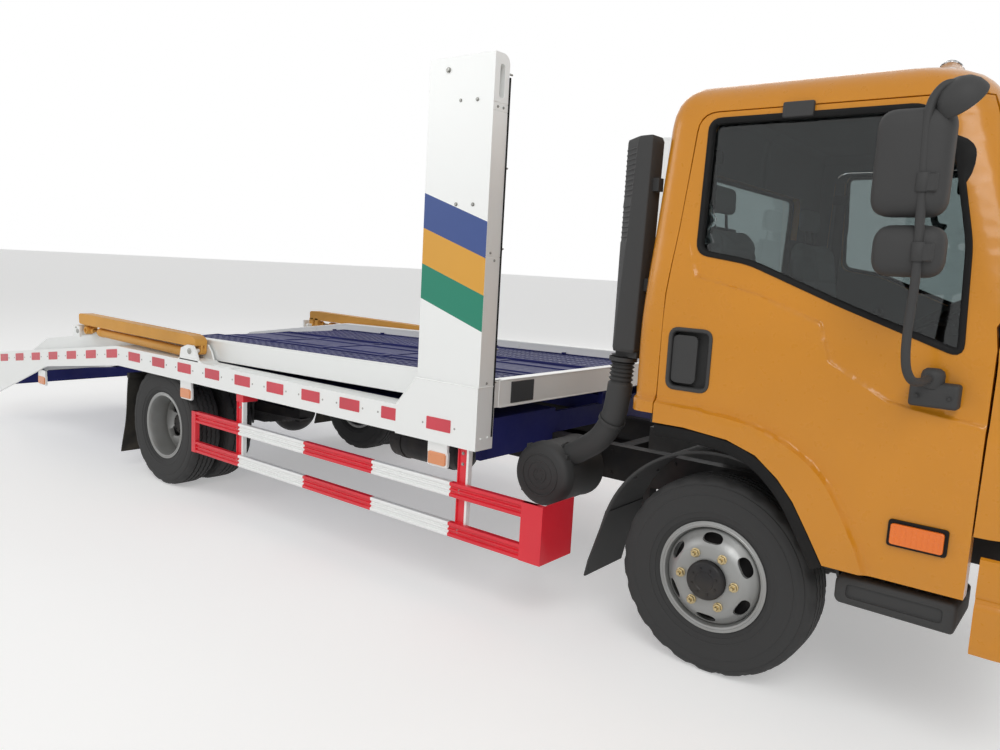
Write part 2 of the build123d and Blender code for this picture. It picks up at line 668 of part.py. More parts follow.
# Side beams with their deepened tails, column bases, tail beam and the arm brackets
TAIL_SIDE = [
    (-1200, BEAM_TOP),
    (BED_BEND, BEAM_TOP),
    (BED_TAIL, bed_z(BED_TAIL, BEAM_TOP)),
    (BED_TAIL, 260),
    (-6450, 260),
    (-5470, 606),
    (-4300, BEAM_LOW),
    (-1200, BEAM_LOW),
]
BASE_SIDE = [
    (COLUMN_FRONT, 745),
    (COLUMN_FRONT, BASE_TOP),
    (COLUMN_BACK - 6, BASE_TOP),
    (-1560, BEAM_TOP),
    (-1560, 745),
]
with BuildPart() as bed_beams:
    for side in (-1, 1):
        side_plate(TAIL_SIDE, side * ARM_OUT, side * BED_HALF_W)
        side_plate(BASE_SIDE, side * (BED_HALF_W - 115), side * (BED_HALF_W + 5))
        lip = [
            (-1500, BEAM_TOP),
            (BED_BEND, BEAM_TOP),
            (BED_TAIL, bed_z(BED_TAIL, BEAM_TOP)),
            (BED_TAIL, bed_z(BED_TAIL, BEAM_TOP) - 20),
            (BED_BEND, BEAM_TOP - 20),
            (-1500, BEAM_TOP - 20),
        ]
        side_plate(lip, side * (BED_HALF_W - BED_EDGE_W), side * BED_HALF_W)
        block(-1400, -1160, side * TRACK_OUT, side * (TRACK_OUT + 11), 750, 850)
        ear = [(-3520, 880), (-3500, 960), (-3430, 985), (-3370, 985), (-3330, 940), (-3300, 880)]
        side_plate(ear, side * (ARM_OUT + 5), side * BED_HALF_W)
        side_plate(ear, side * (ARM_Y0 - 17), side * (ARM_Y0 - 5))
        bar_y(ARM_PIVOT[0], ARM_PIVOT[1], 14, side * (ARM_Y0 - 17), side * BED_HALF_W)
        bar_y(CYL_PIVOT[0], CYL_PIVOT[1], 10, side * (CYL_Y + 3), side * (ARM_OUT + 10))
bed_beams.part.label = "bed_beams"

# Front columns
with BuildPart() as columns:
    for side in (-1, 1):
        y_in = side * (BED_HALF_W - COLUMN_T)
        block(COLUMN_BACK, COLUMN_FRONT, y_in, side * BED_HALF_W, BASE_TOP, COLUMN_TOP)
    inner_tops = columns.edges().filter_by(Axis.X).sort_by(Axis.Z)[-4:].sort_by(Axis.Y)[1:3]
    fillet(inner_tops, 38)
columns.part.label = "columns"

# Side guards between the axles: two rails, posts and the closed front end
GUARD_Y = BED_HALF_W
with BuildPart() as side_guards:
    for side in (-1, 1):
        for low, high in ((315.0, 385.0), (505.0, 575.0)):
            block(-3370, -700, side * (GUARD_Y - 30), side * GUARD_Y, low, high)
        block(-3370, -3330, side * (GUARD_Y - 30), side * GUARD_Y, 315, 575)
        block(-780, -665, side * (GUARD_Y - 30), side * GUARD_Y, 315, 575)
        block(-695, -665, side * (GUARD_Y - 235), side * GUARD_Y, 315, 575)
        for x in (-2890.0, -1140.0):
            block(x - 35, x + 35, side * (GUARD_Y - 45), side * (GUARD_Y - 20), 315, BEAM_LOW - 5)
        block(-2925, -2855, side * (GUARD_Y - BED_EDGE_W), side * (GUARD_Y - 20), 700, BEAM_LOW - 5)
side_guards.part.label = "side_guards"

# Marker lamps hung under the beams and the tail lamps
with BuildPart() as bed_lamps:
    for side in (-1, 1):
        for x, top in ((-1290.0, 745.0), (-3470.0, BEAM_LOW), (-5600.0, 560.0)):
            y_out = ARM_OUT + 10 if top > BEAM_LOW - 10 else ARM_OUT
            block(x - 45, x + 45, side * (ARM_OUT - 22), side * y_out, top - 105, top)
        block(BED_TAIL - 25, BED_TAIL, side * 760, side * 1040, GUARD_BAR_TOP - 98, GUARD_BAR_TOP - 7)
bed_lamps.part.label = "bed_lamps"


def deck_z(x, drop):
    """Height below the top of the deck rail, following the deck's lean and its bent tail."""
    lean = (x - DECK_FRONT) * DECK_LEAN
    return DECK_RAIL_TOP - drop + lean + min(0.0, (x - BED_BEND) * (BED_SLOPE - 0.001))


# Upper deck frame: side rails, front beam, cross members and the brackets of the arms
DECK_SIDE = [
    (DECK_FRONT, deck_z(DECK_FRONT, 0)),
    (BED_BEND, deck_z(BED_BEND, 0)),
    (-5760, deck_z(-5760, 0)),
    (DECK_TAIL, deck_z(DECK_TAIL, 85)),
    (DECK_TAIL, bed_z(DECK_TAIL, BED_FLOOR_TOP + 11)),
    (BED_BEND, BED_FLOOR_TOP + 13),
    (DECK_FRONT, deck_z(DECK_FRONT, DECK_RAIL_H)),
]
with BuildPart() as deck_frame:
    for side in (-1, 1):
        y_in = side * (DECK_HALF_W - DECK_RAIL_W)
        side_plate(DECK_SIDE, y_in, side * DECK_HALF_W)
        block(-4990, -4972, side * (DECK_HALF_W - 5), side * BED_HALF_W, 895, 975)
        block(-4990, -4880, side * (ARM_OUT + 5), side * BED_HALF_W, 895, 975)
        bar_y(ARM_END[0], ARM_END[1], 12, side * (DECK_HALF_W - 20), side * BED_HALF_W)
    deck_inner = DECK_HALF_W - DECK_RAIL_W
    block(DECK_FRONT - 60, DECK_FRONT, -deck_inner - 10, deck_inner + 10, 927, 1052)
    for x in (-1750.0, -2400.0, -3050.0, -3700.0, -4330.0, -4950.0, -5600.0):
        z = deck_z(x, 103)
        block(x - 30, x + 30, -deck_inner - 10, deck_inner + 10, z, z + 28)
deck_frame.part.label = "deck_frame"


def deck_sheet(y0, y1, drop, thick, x0, x1):
    """Sheet that follows the deck between two places along it."""
    profile = [
        (x0, deck_z(x0, drop)),
        (BED_BEND, deck_z(BED_BEND, drop)),
        (x1, deck_z(x1, drop)),
        (x1, deck_z(x1, drop + thick)),
        (BED_BEND, deck_z(BED_BEND, drop + thick)),
        (x0, deck_z(x0, drop + thick)),
    ]
    side_plate(profile, y0, y1)


# Deck floor: perforated wheel tracks and the lower middle
with BuildPart() as deck_floor:
    for side in (-1, 1):
        deck_sheet(side * 320, side * (DECK_HALF_W - DECK_RAIL_W), 55, 14, DECK_FRONT - 60, -5900)
    deck_sheet(-330, 330, 62, 7, DECK_FRONT - 60, -5900)
deck_floor.part.label = "deck_floor"


def arm(side):
    """Lift arm: box beam with a lug down to each pivot."""
    body = [(-4935, 1058), (-4905, 1066), (-3420, 1042), (-3370, 1020), (-3370, 978), (-4930, 990)]
    side_plate(body, side * ARM_Y0, side * ARM_OUT, round_r=8)
    for x, z in (ARM_PIVOT, ARM_END):
        block(x - 27, x + 27, side * ARM_Y0, side * ARM_Y1, z, 1000)
        bar_y(x, z, 27, side * ARM_Y0, side * ARM_Y1)
    block(ROD_EYE[0] - 20, ROD_EYE[0] + 20, side * ARM_Y0, side * (ARM_Y1 - 2), ROD_EYE[1] - 15, 1000)
    bar_y(ROD_EYE[0], ROD_EYE[1], ROD_PIN_R, side * ARM_Y0, side * ARM_OUT)
    bar_y(ARM_PIVOT[0], ARM_PIVOT[1], 14.2, side * (ARM_Y0 - 28), side * (ARM_OUT + 10), mode=Mode.SUBTRACT)
    bar_y(ARM_END[0], ARM_END[1], 12.2, side * (ARM_Y0 - 28), side * (ARM_OUT + 10), mode=Mode.SUBTRACT)


with BuildPart() as right_arm:
    arm(-1)
right_arm.part.label = "right_arm"

with BuildPart() as left_arm:
    arm(1)
left_arm.part.label = "left_arm"

CYL_ANGLE = math.degrees(math.atan2(ROD_EYE[1] - CYL_PIVOT[1], CYL_PIVOT[0] - ROD_EYE[0]))


def along_cylinder(side, start, length, radius, mode=Mode.ADD):
    """Round length of the lift cylinder, counted from its front pivot."""
    turn = math.radians(CYL_ANGLE)
    middle = start + length / 2
    x = CYL_PIVOT[0] - middle * math.cos(turn)
    z = CYL_PIVOT[1] + middle * math.sin(turn)
    place = Location((x + FRONT_AXLE_X, side * CYL_Y, z), (0, CYL_ANGLE - 90, 0))
    with Locations(place):
        Cylinder(radius, length, mode=mode)


def barrel(side):
    """Cylinder barrel with its eye."""
    along_cylinder(side, 70, 1180, 30)
    bar_y(CYL_PIVOT[0], CYL_PIVOT[1], 20, side * EYE_Y0, side * EYE_Y1)
    lug = (CYL_PIVOT[1] - 12, CYL_PIVOT[1] + 14)
    block(CYL_PIVOT[0] - 110, CYL_PIVOT[0], side * EYE_Y0, side * (EYE_Y0 + 20), *lug)
    bar_y(CYL_PIVOT[0], CYL_PIVOT[1], 10.2, side * CYL_Y, side * (CYL_Y + 50), mode=Mode.SUBTRACT)
    along_cylinder(side, 90, 1200, 17.3, mode=Mode.SUBTRACT)


with BuildPart() as right_barrel:
    barrel(-1)
right_barrel.part.label = "right_barrel"

with BuildPart() as left_barrel:
    barrel(1)
left_barrel.part.label = "left_barrel"


def rod(side):
    """Cylinder rod with its eye."""
    along_cylinder(side, 250, 1112, 17)
    bar_y(ROD_EYE[0], ROD_EYE[1], 27, side * EYE_Y0, side * EYE_Y1)
    block(ROD_EYE[0] + 18, ROD_EYE[0] + 60, side * EYE_Y0, side * (EYE_Y0 + 6), 936, 960)
    eye_r = ROD_PIN_R + ROD_DRIFT + 1.0
    bar_y(ROD_EYE[0], ROD_EYE[1], eye_r, side * CYL_Y, side * (CYL_Y + 50), mode=Mode.SUBTRACT)


with BuildPart() as right_rod:
    rod(-1)
right_rod.part.label = "right_rod"

with BuildPart() as left_rod:
    rod(1)
left_rod.part.label = "left_rod"

# Loading ramps stowed under the floor of the tail: ladder frames joined by their pull bar
RAMP_RAIL = 40.0
RUNG_PITCH = 113.0
with BuildPart() as rear_ramps:
    def ramp_z(x, drop):
        return bed_z(x, BED_FLOOR_TOP - RAMP_DROP - drop)

    for side in (-1, 1):
        rail = [
            (RAMP_FRONT, ramp_z(RAMP_FRONT, 0)),
            (RAMP_BACK, ramp_z(RAMP_BACK, 0)),
            (RAMP_BACK - 10, ramp_z(RAMP_BACK, RAMP_H * 0.5)),
            (RAMP_BACK, ramp_z(RAMP_BACK, RAMP_H)),
            (RAMP_FRONT, ramp_z(RAMP_FRONT, RAMP_H)),
        ]
        for y in (RAMP_IN, RAMP_OUT - RAMP_RAIL):
            side_plate(rail, side * y, side * (y + RAMP_RAIL))
        for k in range(10):
            x = RAMP_BACK + 30 + k * RUNG_PITCH
            z = ramp_z(x, RAMP_H / 2)
            block(x - 17, x + 17, side * (RAMP_IN + 5), side * (RAMP_OUT - 5), z - 20, z + 20)
    z = ramp_z(BED_TAIL - 30, RAMP_H / 2)
    block(BED_TAIL - 48, BED_TAIL - 12, -RAMP_IN - 5, RAMP_IN + 5, z - 22, z + 22)
rear_ramps.part.label = "rear_ramps"

PARTS = [
    cab_roof, cab_back, cab_front, cab_floor, cab_glass, cab_lamps, seats, dashboard,
    steering_wheel, intake_stack, right_door, left_door, right_door_glass, left_door_glass,
    right_door_fittings, left_door_fittings, chassis_frame, engine, axles, fuel_tank, bumper,
    mudguards, air_cleaner, right_knuckle, left_knuckle, front_right_tyre, front_left_tyre,
    front_right_rim, front_left_rim, rear_right_tyres, rear_left_tyres, rear_right_rims,
    rear_left_rims, bed_frame, bed_beams, columns, side_guards, bed_lamps, deck_frame,
    deck_floor, right_arm, left_arm, right_barrel, left_barrel, right_rod, left_rod, rear_ramps,
]
for piece in PARTS:
    export_step(piece.part, f"parts/{piece.part.label}.step")
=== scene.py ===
import math

import bmesh
import bpy
import numpy as np
from mathutils import Matrix, Vector
from mathutils.geometry import delaunay_2d_cdt


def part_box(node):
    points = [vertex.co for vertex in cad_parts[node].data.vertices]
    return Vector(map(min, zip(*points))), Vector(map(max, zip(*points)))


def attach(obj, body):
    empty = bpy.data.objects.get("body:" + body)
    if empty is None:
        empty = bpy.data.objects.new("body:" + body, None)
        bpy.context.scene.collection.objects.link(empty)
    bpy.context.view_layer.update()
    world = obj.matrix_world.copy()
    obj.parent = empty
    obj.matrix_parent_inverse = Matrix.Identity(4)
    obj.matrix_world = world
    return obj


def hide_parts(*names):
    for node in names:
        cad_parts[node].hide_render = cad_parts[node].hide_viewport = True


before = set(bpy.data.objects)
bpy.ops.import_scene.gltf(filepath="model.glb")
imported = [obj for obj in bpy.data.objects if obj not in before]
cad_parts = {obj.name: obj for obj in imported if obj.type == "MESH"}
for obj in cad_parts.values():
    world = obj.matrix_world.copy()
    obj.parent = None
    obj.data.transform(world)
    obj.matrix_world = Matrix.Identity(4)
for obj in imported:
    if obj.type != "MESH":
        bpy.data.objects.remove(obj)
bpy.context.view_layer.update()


def middle(node):
    """Middle of a solid's box."""
    low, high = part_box(node)
    return (low + high) / 2


# Metres. Lengths along the truck are counted from the front axle, as in the part's source.
AXLE = middle("front_right_tyre").x
REAR = middle("rear_right_tyres").x - AXLE
HUB_Z = middle("front_right_tyre").z
SIDES = (-1, 1)
SIDE_NAMES = {-1: "right", 1: "left"}

# Materials: colour, roughness, metal, coat, colour spread, grain height, grain scale, dust, dust top
LOOKS = {
    "yellow_paint": ((0.6, 0.232, 0.008), 0.3, 0.0, 0.35, 0.03, 0.0, 500, 0.12, 0.9),
    "arm_yellow": ((0.66, 0.33, 0.07), 0.48, 0.0, 0.1, 0.1, 0.0, 260, 0.1, 1.3),
    "white_paint": ((0.72, 0.74, 0.71), 0.36, 0.0, 0.25, 0.03, 0.0, 400, 0.1, 1.0),
    "blue_paint": ((0.018, 0.022, 0.125), 0.48, 0.0, 0.0, 0.15, 0.0, 260, 0.06, 1.4),
    "stripe_blue": ((0.045, 0.085, 0.27), 0.34, 0.0, 0.2, 0.02, 0.0, 400, 0.0, 1.0),
    "stripe_yellow": ((0.72, 0.36, 0.05), 0.34, 0.0, 0.2, 0.02, 0.0, 400, 0.0, 1.0),
    "stripe_green": ((0.015, 0.23, 0.145), 0.34, 0.0, 0.2, 0.02, 0.0, 400, 0.0, 1.0),
    "red_paint": ((0.74, 0.018, 0.035), 0.36, 0.0, 0.3, 0.06, 0.0003, 300, 0.08, 0.6),
    "black_paint": ((0.022, 0.022, 0.024), 0.5, 0.0, 0.1, 0.25, 0.0006, 120, 0.25, 1.0),
    "black_plastic": ((0.024, 0.024, 0.025), 0.5, 0.0, 0.0, 0.12, 0.0, 900, 0.1, 0.9),
    "rubber": ((0.013, 0.013, 0.013), 0.6, 0.0, 0.0, 0.12, 0.0003, 500, 0.1, 0.9),
    "mud_rubber": ((0.024, 0.024, 0.023), 0.72, 0.0, 0.0, 0.25, 0.0008, 90, 0.3, 0.9),
    "tyre": ((0.012, 0.0115, 0.01), 0.78, 0.0, 0.0, 0.35, 0.0007, 140, 0.16, 4.0),
    "silver_paint": ((0.3, 0.305, 0.3), 0.4, 0.45, 0.1, 0.12, 0.0003, 260, 0.3, 0.8),
    "brass": ((0.5, 0.4, 0.22), 0.36, 0.9, 0.0, 0.15, 0.0002, 200, 0.1, 0.6),
    "bolt_steel": ((0.36, 0.36, 0.34), 0.42, 0.9, 0.0, 0.15, 0.0002, 300, 0.0, 0.6),
    "iron": ((0.1, 0.1, 0.1), 0.62, 0.4, 0.0, 0.3, 0.0012, 60, 0.2, 0.9),
    "chrome": ((0.62, 0.62, 0.63), 0.1, 1.0, 0.0, 0.03, 0.0001, 300, 0.0, 0.6),
    "tank_metal": ((0.34, 0.35, 0.36), 0.42, 0.8, 0.0, 0.1, 0.0004, 120, 0.2, 0.7),
    "reflector": ((0.62, 0.045, 0.07), 0.34, 0.0, 0.4, 0.1, 0.0005, 700, 0.0, 0.6),
    "seat_cloth": ((0.085, 0.086, 0.09), 0.92, 0.0, 0.0, 0.18, 0.0012, 700, 0.0, 0.6),
    "trim_grey": ((0.13, 0.13, 0.135), 0.68, 0.0, 0.0, 0.08, 0.0005, 600, 0.0, 0.6),
    "dark_trim": ((0.045, 0.045, 0.048), 0.6, 0.0, 0.0, 0.1, 0.0005, 600, 0.0, 0.6),
    "blank_plate": ((0.045, 0.047, 0.05), 0.35, 0.0, 0.2, 0.06, 0.0001, 300, 0.0, 0.6),
    "amber_marker": ((0.78, 0.3, 0.13), 0.3, 0.0, 0.5, 0.05, 0.0003, 500, 0.0, 0.6),
    "red_marker": ((0.6, 0.03, 0.03), 0.3, 0.0, 0.5, 0.05, 0.0003, 500, 0.0, 0.6),
    "side_amber": ((0.8, 0.17, 0.012), 0.28, 0.0, 0.5, 0.04, 0.0002, 500, 0.0, 0.6),
    "mirror": ((0.8, 0.81, 0.82), 0.03, 1.0, 0.0, 0.01, 0.0, 300, 0.0, 0.6),
}
# Clear materials: colour, roughness
CLEAR = {
    "glass": ((0.36, 0.41, 0.41), 0.0),
    "clear_lens": ((0.95, 0.96, 0.96), 0.06),
    "amber_lens": ((0.95, 0.3, 0.02), 0.12),
    "red_lens": ((0.8, 0.03, 0.02), 0.12),
}
DUST = (0.2, 0.165, 0.12, 1.0)


def material(name):
    """Procedural finish from the table, made the first time that it is asked for."""
    if name in bpy.data.materials:
        return bpy.data.materials[name]
    made = bpy.data.materials.new(name)
    made.use_nodes = True
    nodes = made.node_tree.nodes
    link = made.node_tree.links.new
    shader = nodes["Principled BSDF"]
    coords = nodes.new("ShaderNodeTexCoord")

    def noise(scale, detail):
        texture = nodes.new("ShaderNodeTexNoise")
        texture.inputs["Scale"].default_value = scale
        texture.inputs["Detail"].default_value = detail
        link(coords.outputs["Object"], texture.inputs["Vector"])
        return texture.outputs["Fac"]

    def ranged(value, low, high, to_low, to_high):
        node = nodes.new("ShaderNodeMapRange")
        node.inputs["From Min"].default_value = low
        node.inputs["From Max"].default_value = high
        node.inputs["To Min"].default_value = to_low
        node.inputs["To Max"].default_value = to_high
        link(value, node.inputs["Value"])
        return node.outputs["Result"]

    if name in CLEAR:
        colour, rough = CLEAR[name]
        shader.inputs["Transmission Weight"].default_value = 1.0
        shader.inputs["IOR"].default_value = 1.45
        shader.inputs["Base Color"].default_value = (*colour, 1.0)
        smear = noise(6.0, 4.0)
        link(ranged(smear, 0.55, 0.8, rough, rough + 0.08), shader.inputs["Roughness"])
        return made

    colour, rough, metal, coat, spread, grain, scale, dust, dust_top = LOOKS[name]
    shader.inputs["Metallic"].default_value = metal
    shader.inputs["Coat Weight"].default_value = coat
    shader.inputs["Coat Roughness"].default_value = 0.12
    if not metal:
        shader.inputs["Specular IOR Level"].default_value = 0.12 if rough > 0.45 else 0.35
    cloud = noise(2.2, 4.0)
    ramp = nodes.new("ShaderNodeValToRGB")
    link(cloud, ramp.inputs["Fac"])
    for stop, place, share in zip(ramp.color_ramp.elements, (0.35, 0.68), (1 - spread, 1 + spread)):
        stop.position = place
        stop.color = (*(min(1.0, c * share) for c in colour), 1.0)
    tone = ramp.outputs["Color"]
    if dust:
        split = nodes.new("ShaderNodeSeparateXYZ")
        link(coords.outputs["Object"], split.inputs["Vector"])
        height = ranged(split.outputs["Z"], 0.0, dust_top, dust, 0.0)
        patches = ranged(noise(9.0, 6.0), 0.4, 0.72, 0.15, 1.0)
        amount = nodes.new("ShaderNodeMath")
        amount.operation = "MULTIPLY"
        link(height, amount.inputs[0])
        link(patches, amount.inputs[1])
        mix = nodes.new("ShaderNodeMix")
        mix.data_type = "RGBA"
        link(amount.outputs[0], mix.inputs["Factor"])
        link(tone, mix.inputs["A"])
        mix.inputs["B"].default_value = DUST
        tone = mix.outputs["Result"]
    link(tone, shader.inputs["Base Color"])
    link(ranged(noise(30.0, 5.0), 0.3, 0.7, max(0.02, rough - 0.05), rough + 0.08), shader.inputs["Roughness"])
    if grain:
        bump = nodes.new("ShaderNodeBump")
        bump.inputs["Strength"].default_value = 0.6
        bump.inputs["Distance"].default_value = grain
        link(noise(scale, 2.0), bump.inputs["Height"])
        link(bump.outputs["Normal"], shader.inputs["Normal"])
    return made


def rounded(corners, radius, steps=5):
    """Outline with its corners turned into curves."""
    points = []
    for i, corner in enumerate(corners):
        here = Vector(corner)
        back = Vector(corners[i - 1]) - here
        ahead = Vector(corners[(i + 1) % len(corners)]) - here
        reach = min(radius, back.length * 0.48, ahead.length * 0.48)
        start = here + back.normalized() * reach
        end = here + ahead.normalized() * reach
        for k in range(steps + 1):
            t = k / steps
            points.append(tuple((1 - t) ** 2 * start + 2 * t * (1 - t) * here + t * t * end))
    return points


def rectangle(u0, u1, v0, v1):
    """Corners of an upright rectangle."""
    return [(u0, v0), (u1, v0), (u1, v1), (u0, v1)]


def smooth_path(points, samples=8):
    """Points along a smooth curve through the given ones."""
    nodes = [Vector(p) for p in points]
    nodes = [nodes[0] * 2 - nodes[1]] + nodes + [nodes[-1] * 2 - nodes[-2]]
    path = []
    for a, b, c, d in zip(nodes, nodes[1:], nodes[2:], nodes[3:]):
        for k in range(samples):
            t = k / samples
            bend = (2 * a - 5 * b + 4 * c - d) * t * t + (3 * b - a - 3 * c + d) * t ** 3
            path.append(b + ((c - a) * t + bend) * 0.5)
    path.append(nodes[-2])
    return path


def direction(path, i):
    """Way that a path runs at its point i."""
    return (path[min(i + 1, len(path) - 1)] - path[max(i - 1, 0)]).normalized()


def turns(count):
    """Angles once round a circle."""
    return [2 * math.pi * k / count for k in range(count)]


# Point from its place in a view and along the view's axis
PLACES = {
    "x": lambda u, v, w: (w, u, v),
    "y": lambda u, v, w: (u, w, v),
    "z": lambda u, v, w: (u, v, w),
}


class Form:
    """A mesh built up from simple solids.

    x is counted from the front axle, and y is multiplied by side: -1 is the truck's right, 1 its left or as it is.
    """

    def __init__(self, side=1):
        self.bm = bmesh.new()
        self.look = 0
        self.side = side

    def skin(self, rings, closed=False):
        """Faces between rings of points, with end caps unless the last ring joins the first."""
        rows = [[self.bm.verts.new((x + AXLE, self.side * y, z)) for x, y, z in ring] for ring in rings]
        pairs = list(zip(rows, rows[1:]))
        faces = []
        if closed:
            pairs.append((rows[-1], rows[0]))
        else:
            faces.append(self.bm.faces.new(rows[0][::-1]))
            faces.append(self.bm.faces.new(rows[-1]))
        for low, high in pairs:
            for i in range(len(low)):
                j = (i + 1) % len(low)
                faces.append(self.bm.faces.new((low[i], low[j], high[j], high[i])))
        for face in faces:
            face.material_index = self.look
        return faces

    def prism(self, outline, start, end, axis="y"):
        """Outline in side, front or plan view, given a length along the third axis."""
        return self.skin([[PLACES[axis](u, v, w) for u, v in outline] for w in (start, end)])

    def box(self, x0, x1, y0, y1, z0, z1):
        """Box between two corners."""
        return self.prism(rectangle(x0, x1, z0, z1), y0, y1)

    def turned(self, profile, centre, axis, segments=48, ring=False):
        """Profile of (along, radius) turned about an axis; ring closes the profile on itself."""
        # turned where it ends up, so that flats and segments face the same way on both sides
        side, self.side = self.side, 1
        x, y, z = axis
        along = Vector((x, side * y, z)).normalized()
        x, y, z = centre
        centre = Vector((x, side * y, z))
        across = along.orthogonal().normalized()
        up = along.cross(across)
        rings = []
        for distance, radius in profile:
            base = centre + along * distance
            rings.append([base + (across * math.cos(a) + up * math.sin(a)) * radius for a in turns(segments)])
        faces = self.skin(rings, closed=ring)
        self.side = side
        return faces

    def rod(self, start, end, radius, segments=20):
        """Round bar between two points."""
        length = (Vector(end) - Vector(start)).length
        edge = min(radius * 0.15, length * 0.2)
        profile = [(0, radius - edge), (edge, radius), (length - edge, radius), (length, radius - edge)]
        return self.turned(profile, start, Vector(end) - Vector(start), segments)

    def tube(self, points, radius, segments=14, samples=8):
        """Round bar along a smooth path."""
        path = smooth_path(points, samples)
        across = None
        rings = []
        for i, here in enumerate(path):
            along = direction(path, i)
            across = (across - along * across.dot(along)).normalized() if across else along.orthogonal().normalized()
            up = along.cross(across)
            rings.append([here + (across * math.cos(a) + up * math.sin(a)) * radius for a in turns(segments)])
        return self.skin(rings)

    def bolt(self, centre, axis, size):
        """Hexagonal head on a washer; size is the washer's radius."""
        self.turned([(0, size), (size * 0.18, size)], centre, axis, 20)
        lift = Vector(centre) + Vector(axis).normalized() * size * 0.18
        self.turned([(0, size * 0.72), (size * 0.5, size * 0.72), (size * 0.6, size * 0.6)], lift, axis, 6)

    def mesh(self, name):
        """The finished mesh, with its faces turned outwards."""
        bmesh.ops.recalc_face_normals(self.bm, faces=self.bm.faces)
        made = bpy.data.meshes.new(name)
        self.bm.to_mesh(made)
        self.bm.free()
        return made


def soften(shape, width, angle):
    """Rounds the edges that are sharper than this many degrees."""
    edges = shape.modifiers.new("edges", "BEVEL")
    edges.width = width
    edges.segments = 2
    edges.limit_method = "ANGLE"
    edges.angle_limit = math.radians(angle)
    edges.harden_normals = True


def piece(name, shape, body, looks, stands_for=(), bevel=0.0, smooth=35):
    """Puts a form or mesh into the scene, on its body and with its materials."""
    mesh = shape.mesh(name) if isinstance(shape, Form) else shape
    made = bpy.data.objects.new(name, mesh)
    bpy.context.scene.collection.objects.link(made)
    looks = [looks] if isinstance(looks, str) else list(looks)
    # slots are filled in place, because clearing them would lose the faces' look indices
    while len(mesh.materials) < len(looks):
        mesh.materials.append(None)
    while len(mesh.materials) > len(looks):
        mesh.materials.pop()
    for i, look in enumerate(looks):
        mesh.materials[i] = material(look)
    mesh.polygons.foreach_set("use_smooth", [True] * len(mesh.polygons))
    mesh.set_sharp_from_angle(angle=math.radians(smooth))
    if bevel:
        soften(made, bevel, smooth)
    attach(made, body)
    if stands_for:
        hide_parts(*stands_for)
    return made


def carved(form, cutter):
    """The form's mesh with the cutter's volume taken out."""
    parts = []
    for shape in (form, cutter):
        part = bpy.data.objects.new("carving", shape.mesh("carving"))
        bpy.context.scene.collection.objects.link(part)
        # slots, so that the faces keep their look indices
        for _ in range(4):
            part.data.materials.append(None)
        parts.append(part)
    cut = parts[0].modifiers.new("cut", "BOOLEAN")
    cut.object = parts[1]
    cut.solver = "EXACT"
    graph = bpy.context.evaluated_depsgraph_get()
    mesh = bpy.data.meshes.new_from_object(parts[0].evaluated_get(graph))
    for part in parts:
        bpy.data.objects.remove(part)
    return mesh


def finish_node(node, look, bevel=0.0):
    """Gives a carried-over solid its material and soft edges."""
    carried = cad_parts[node]
    carried.data.materials.clear()
    carried.data.materials.append(material(look))
    if bevel:
        weld = carried.modifiers.new("weld", "WELD")
        weld.merge_threshold = 0.00002
        soften(carried, bevel, 40)


# Cab skin. Knots: height, front, back, half width; above the eaves the roof curves in
CAB_KNOTS = np.array([
    (0.5, 1.045, -0.36, 0.985),
    (1.4, 1.04, -0.36, 0.985),
    (2.15, 0.8, -0.335, 0.905),
])
EAVES_Z = 2.15
ROOF_Z = 2.315
ROOF_AIM = np.array((0.747, -0.3295, 0.887))
ROOF_EDGE = np.array((0.56, -0.21, 0.74))
SOFTEN = 0.06
FRONT_R = 0.15
BACK_R = 0.055
CAB_WALL = 0.055
GAP = 0.005
DOOR_TOP = 2.19
FRONT_LOW = 0.815
BACK_LOW = 1.035
DOOR_FRONT = [(0.7, DOOR_TOP), (0.8, 1.89), (0.875, 1.4), (0.875, 0.605)]
ARCH = [
    (0.445, 0.605),
    (0.389, 0.7),
    (0.324, 0.805),
    (0.262, 0.876),
    (0.174, 0.945),
    (0.062, 0.983),
    (-0.116, 1.0),
]
DOOR_BACK = [(-0.245, 1.0), (-0.245, 1.5), (-0.2, DOOR_TOP)]
WINDOW = [
    (-0.16, 2.165),
    (-0.145, 1.662),
    (0.06, 1.632),
    (0.4, 1.502),
    (0.785, 1.368),
    (0.765, 1.72),
    (0.69, 2.04),
    (0.58, 2.165),
]
FLARE_CREST = [
    (-0.4, 1.09),
    (-0.06, 1.077),
    (0.146, 1.055),
    (0.278, 1.006),
    (0.368, 0.952),
    (0.434, 0.887),
    (0.494, 0.792),
    (0.548, 0.69),
    (0.59, 0.59),
]
WAIST_CREST = [
    (-0.181, 1.703),
    (-0.132, 1.574),
    (0.108, 1.523),
    (0.347, 1.437),
    (0.389, 1.311),
    (0.588, 1.202),
    (0.88, 1.16),
]


def cab_section(z):
    """Front, back and half width of the cab at a height."""
    if z > EAVES_Z:
        v = 1 - math.sqrt(max(0.0, (ROOF_Z - z) / (ROOF_Z - EAVES_Z)))
        start = CAB_KNOTS[-1][1:]
        return (1 - v) ** 2 * start + 2 * v * (1 - v) * ROOF_AIM + v * v * ROOF_EDGE
    heights = np.clip(z + np.linspace(-SOFTEN, SOFTEN, 5), 0.0, EAVES_Z)
    return np.array([np.interp(heights, CAB_KNOTS[:, 0], CAB_KNOTS[:, k]).mean() for k in (1, 2, 3)])


def runs(z):
    """Lengths of the stretches of half the cab's girth: front, corner, side, corner, back."""
    front, back, half = cab_section(z)
    corner = math.pi / 2
    return (half - FRONT_R, FRONT_R * corner, front - FRONT_R - back - BACK_R, BACK_R * corner, half - BACK_R)


